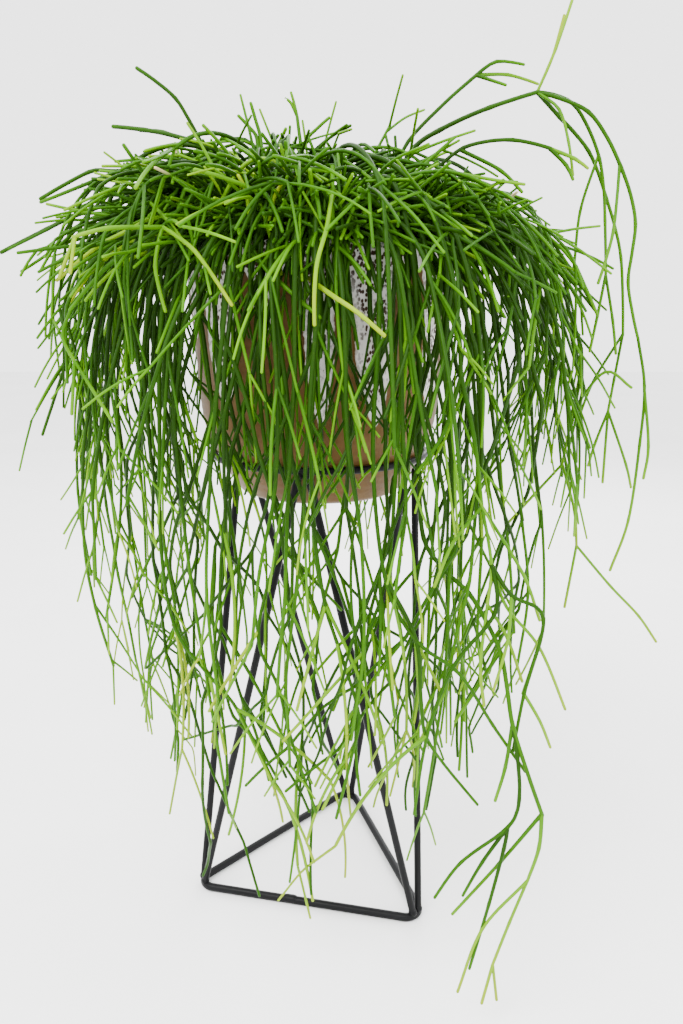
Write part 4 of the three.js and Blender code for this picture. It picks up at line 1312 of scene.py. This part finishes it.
# dark stems that trail below the ring, with young shoots from their lower joints
trailingAccents = [
    [(-20, -98, 655), (-24, -148, 650), (-26, -172, 590), (-20, -178, 500), (-22, -180, 433),
     (-45, -182, 341), (-30, -184, 295), (-20, -186, 249), (0, -188, 183)],
    [(8, -98, 655), (6, -150, 648), (4, -176, 580), (-2, -182, 500), (0, -184, 423), (8, -186, 364),
     (17, -188, 334), (34, -190, 275), (30, -192, 243), (16, -192, 180)],
    [(44, -90, 655), (58, -140, 648), (66, -168, 580), (62, -178, 480), (56, -184, 390), (38, -186, 325),
     (32, -188, 249), (36, -190, 200)],
    [(-60, -80, 655), (-98, -126, 648), (-116, -146, 580), (-122, -150, 480), (-124, -154, 400),
     (-115, -158, 334), (-87, -166, 295), (-65, -172, 269), (-36, -178, 207)],
    [(36, -94, 655), (46, -146, 648), (48, -176, 580), (44, -186, 480), (54, -194, 388), (78, -198, 340),
     (112, -200, 313), (139, -202, 271), (167, -204, 230)],
    [(54, -194, 388), (78, -198, 340), (83, -200, 287), (91, -200, 252), (131, -200, 198)],
    [(134, -194, 400), (138, -198, 363), (107, -200, 319), (88, -202, 261), (79, -203, 191)],
    [(134, -194, 400), (150, -196, 376), (175, -198, 358), (163, -200, 296), (156, -202, 246)],
    [(154, -208, 272), (158, -210, 249), (161, -212, 211), (153, -212, 186), (117, -212, 154),
     (96, -212, 120)],
    [(153, -212, 186), (134, -212, 154), (119, -212, 122)],
    [(153, -212, 186), (151, -212, 167), (141, -213, 116), (127, -213, 52)],
]
accentShape = {"steps": 4, "taper": 0.8}
trailingAccentHabit = {
    "steps": 3, "width": 2.35, "lastWidth": 1.7, "age": (1.0, 0.7), "shootsBelow": 400, "shoots": 2,
    "shootAge": 0.42,
    "way": {
        "over": True, "margin": 4, "lowest": 20, "proud": 6.0, "stretch": 1.5, "stout": 1.22,
        "farthest": 290,
    },
}
freeRoom = {
    "inner": 80, "lip": 104, "over": 124, "lipHeight": 650, "soil": 619, "farthest": 262,
    "farthestLeft": 284, "front": -254,
    "ceiling": [(0, 722), (60, 722), (100, 712), (150, 696), (200, 676), (235, 650), (284, 604)],
    "leftRise": 0.07,
}


def pick(span):
    return float(rng.uniform(*span))


def eased(place, way):
    # keeps a free stem above the soil and the lip, then outside the pot and the stand
    x, y, z = place
    room = freeRoom
    if not way["over"]:
        away = math.hypot(x, y)
        share = limited((away - room["inner"]) / (room["lip"] - room["inner"]))
        z = max(z, room["soil"] + (room["lipHeight"] - room["soil"]) * share)
        way["over"] = away > room["over"]
        return (x, y, z)
    least = keepOut(z)
    return pushedOut(x, y, z, least + way["margin"] if least else 0.0)


def freeRun(start, direction, length, bend, way):
    steps = max(2, round(length / growthHabit["freeStep"]))
    sway = tuple(pick((-1, 1)) for axis in range(3))
    return grownRun(start, direction, length, steps, bend, eased, way, sway)


def ceiling(x, y):
    # height of the plant's outline at a place, a little higher on its left
    reach, height = zip(*freeRoom["ceiling"])
    return float(np.interp(math.hypot(x, y), reach, height)) - freeRoom["leftRise"] * x


def isFree(points, way):
    for x, y, z in points:
        away = math.hypot(x, y)
        if away > way.get("farthest", freeRoom["farthestLeft"] if x < 0 else freeRoom["farthest"]):
            return False
        if y < freeRoom["front"]:
            return False
        if z < lowestAt(x, y, way["lowest"]) or z > ceiling(x, y) + way["proud"]:
            return False
    return True


def freeShoot(out, node, heading, way, isFork, age):
    habit = shootHabit
    way = dict(way, proud=float(rng.exponential(habit["proud"])))
    lime = rng.random() < habit["limeShare"]
    hangs = way["over"] and node[2] < habit["hangingBelow"]
    lean = math.radians(pick(habit["hangingAngle" if hangs else "angle"]))
    direction = tipped(heading, lean, pick((0, 2 * math.pi)))
    length = pick(habit["forkLength" if isFork else "length"]) * way.get("stretch", 1)
    bend = pick(habit["hangingBend" if hangs else "bend"])
    points, after = freeRun(node, direction, length, bend, way)
    if not isFree(points, way):
        return
    first = pick(habit["forkWidth" if isFork else "width"]) * way.get("stout", 1)
    start = max(0.0, age - habit["limeYouth" if lime else "youth"] + pick(habit["ageJitter"]))
    end = max(0.0, start - pick(habit["ageSpan"]))
    out.append({
        "points": [node] + points, "first": first, "last": first * pick(habit["taper"]), "age": (start, end),
        "dry": rng.random() < habit["dryShare"],
    })
    if not isFork and rng.random() < habit["forkShare"]:
        for k in range(3 if rng.random() < habit["threeShare"] else 2):
            freeShoot(out, points[-1], after, way, True, end + habit["forkAge"])


def freeStem(out, root, towards, rise, reach, length, width, way):
    habit = crownHabit
    heading = around(math.cos(math.radians(rise)), towards, math.sin(math.radians(rise)))
    bend = growthHabit["archAngle"] / reach
    path = [root]
    joints = []
    nodes = []
    travelled = 0.0
    after = heading
    while travelled < length:
        gap = pick(habit["nodeGap"])
        kink = way["kink"] if "kink" in way and way["over"] else habit["kink"]
        for attempt in range(way.get("tries", 1)):
            tried = dict(way)
            if path[1:]:
                heading = tipped(after, math.radians(pick(kink)), pick((0, 2 * math.pi)))
            jitter = pick((1 - habit["bendJitter"], 1 + habit["bendJitter"]))
            points, onward = freeRun(path[-1], heading, gap, bend * jitter, tried)
            if isFree(points, way):
                break
        else:
            break
        way = tried
        after = onward
        path.extend(points)
        joints.append(len(path) - 1)
        nodes.append((path[-1], after, dict(way), travelled))
        travelled += gap
        if travelled > reach * habit["archPassed"]:
            bend = habit["hangingBend"]
    if len(path) < habit["fewestPoints"]:
        return
    old = pick(habit["old"])
    young = pick(way.get("young", habit["young"]))
    last = width * habit["taper"]
    out.append({"points": path, "first": width, "last": last, "age": (old, young), "joints": joints})
    for place, after, nodeWay, at in nodes:
        share = at / max(travelled, 1)
        if place[2] > way.get("bareAbove", place[2]):
            continue
        for k in range(rng.choice([0, 1, 2, 3], p=way.get("shoots", habit["shoots"]))):
            freeShoot(out, place, after, nodeWay, False, old + (young - old) * share)


def growCrown():
    habit = crownHabit
    out = []
    for i in range(habit["stems"]):
        radius = habit["rootReach"] * math.sqrt(rng.random())
        isFar = i % habit["farEvery"] == 0
        angle = pick(habit["farSides"][i % len(habit["farSides"])] if isFar else (-180, 180))
        root = around(radius, angle, soilSizes["top"] - habit["rootSink"])
        low, high = habit["rise"]
        rise = high - (high - low) * (radius / habit["rootReach"]) * rng.random() ** habit["riseCurve"]
        wider = habit["middleSpread"] if radius < habit["middle"] else 1
        towards = angle + pick((-habit["spread"], habit["spread"])) * wider
        reach = pick(habit["farReach" if isFar else "reach"]) * (habit["leftReach"] if root[0] < 0 else 1)
        length = reach * pick(habit["stretch"]) + (0 if isFar else pick(habit["hang"]))
        way = {**habit["way"], "margin": pick(habit["margin"]), "lowest": pick(habit["lowest"])}
        freeStem(out, root, towards, rise, reach, length, pick(habit["width"]), way)
    return out


def grownStems(habit, places):
    # stems of a kind, each from its root at an angle and a radius
    fan = (-habit["fan"], habit["fan"])
    out = []
    for angle, radius in places:
        root = around(radius, angle, soilSizes["top"] - crownHabit["rootSink"])
        way = {
            "over": False, "margin": pick(habit["margin"]), "lowest": pick(habit["lowest"]), **habit["way"],
        }
        if "hang" in habit:
            reach = pick(habit["reach"])
            towards = angle + pick(fan)
            rise = pick(habit["rise"])
            length = reach + pick(habit["hang"])
        else:
            towards = angle + pick(fan)
            rise = pick(habit["rise"])
            reach = pick(habit["reach"])
            length = pick(habit["length"])
        freeStem(out, root, towards, rise, reach, length, pick(habit["width"]), way)
    return out


def hangingRoots(habit):
    for i in range(habit["stems"]):
        radius = crownHabit["rootReach"] * math.sqrt(rng.random())
        yield 360 * i / habit["stems"] + pick(habit["turn"]), radius


def veilRoots(habit):
    # short stems that hang over the rim close to the pot, most of them in front
    spread = (-habit["spread"], habit["spread"])
    for i in range(habit["stems"]):
        angle = habit["middle"] + pick(spread) + pick(spread)
        if i % habit["allRoundEvery"] == 0:
            angle = pick((-180, 180))
        yield angle, pick(habit["rootReach"])


def trailingRoots(habit):
    # long stems that hang past the stand in front and on the right
    for i in range(habit["stems"]):
        angle = habit["from"] + (habit["to"] - habit["from"]) * (i + pick((0, 1))) / habit["stems"]
        yield angle, pick(habit["rootReach"])


def shoulderRoots(habit, side):
    # stems that arch out to one side and fill the shoulder of the crown
    for i in range(habit["stems"]):
        yield pick(side), pick(habit["rootReach"])


def drawnAccents():
    # stems that stand out in the crown and in front of the pot
    out = []
    for age, first, through in accents:
        points = smoothOutline(through, accentShape["steps"])
        last = first * accentShape["taper"]
        # accents keep their given ages, without painted shade
        out.append({"points": points, "first": first, "last": last, "age": age, "bright": True})
    habit = trailingAccentHabit
    for through in trailingAccents:
        points = smoothOutline(through, habit["steps"])
        joints = [i * habit["steps"] for i in range(1, len(through))]
        out.append({
            "points": points, "first": habit["width"], "last": habit["lastWidth"], "age": habit["age"],
            "bright": True, "joints": joints,
        })
        for before, place in zip(through, through[1:]):
            if place[2] < habit["shootsBelow"]:
                for k in range(habit["shoots"]):
                    freeShoot(out, place, unit(sub(place, before)), habit["way"], False, habit["shootAge"])
    return out


def growAlong(sprays):
    habit = alongHabit
    out = []
    for spray in sprays:
        for place, heading, over, index in spray["nodes"]:
            way = {"over": over, **habit["way"]}
            chances = habit["upper" if place[2] > habit["upperFrom"] else "lower"]
            for k in range(rng.choice([0, 1, 2], p=chances)):
                freeShoot(out, place, heading, way, False, habit["age"])
    return out


def sectors(stems, count):
    # sorts stems into pieces by the side of the plant that they reach out to
    groups = [[] for i in range(count)]
    for stem in stems:
        x, y, z = stem["points"][-1]
        groups[int((math.degrees(math.atan2(y, x)) + 180) / 360 * count) % count].append(stem)
    return groups


def stemPieces(name, groups):
    for i, stems in enumerate(groups):
        stemPiece(f"{name}{i + 1}", stems, "loose")


stemPieces("crownShoots", sectors(growCrown(), 6))
hanging = grownStems(hangingHabit, hangingRoots(hangingHabit))
stemPieces("hangingShoots", sectors(hanging + growAlong(grown), 4))
stemPieces("veilShoots", sectors(grownStems(veilHabit, veilRoots(veilHabit)), 3))
trailing = []
for habit in (trailingHabit, rightTrailingHabit):
    trailing += grownStems(habit, trailingRoots(habit))
stemPieces("trailingShoots", (trailing[::2], trailing[1::2]))
stemPiece("accentStems", drawnAccents(), "close")
shoulders = (
    grownStems(shoulderHabit, shoulderRoots(shoulderHabit, side)) for side in shoulderHabit["sides"]
)
stemPieces("shoulderShoots", shoulders)
print("finer growth is made")
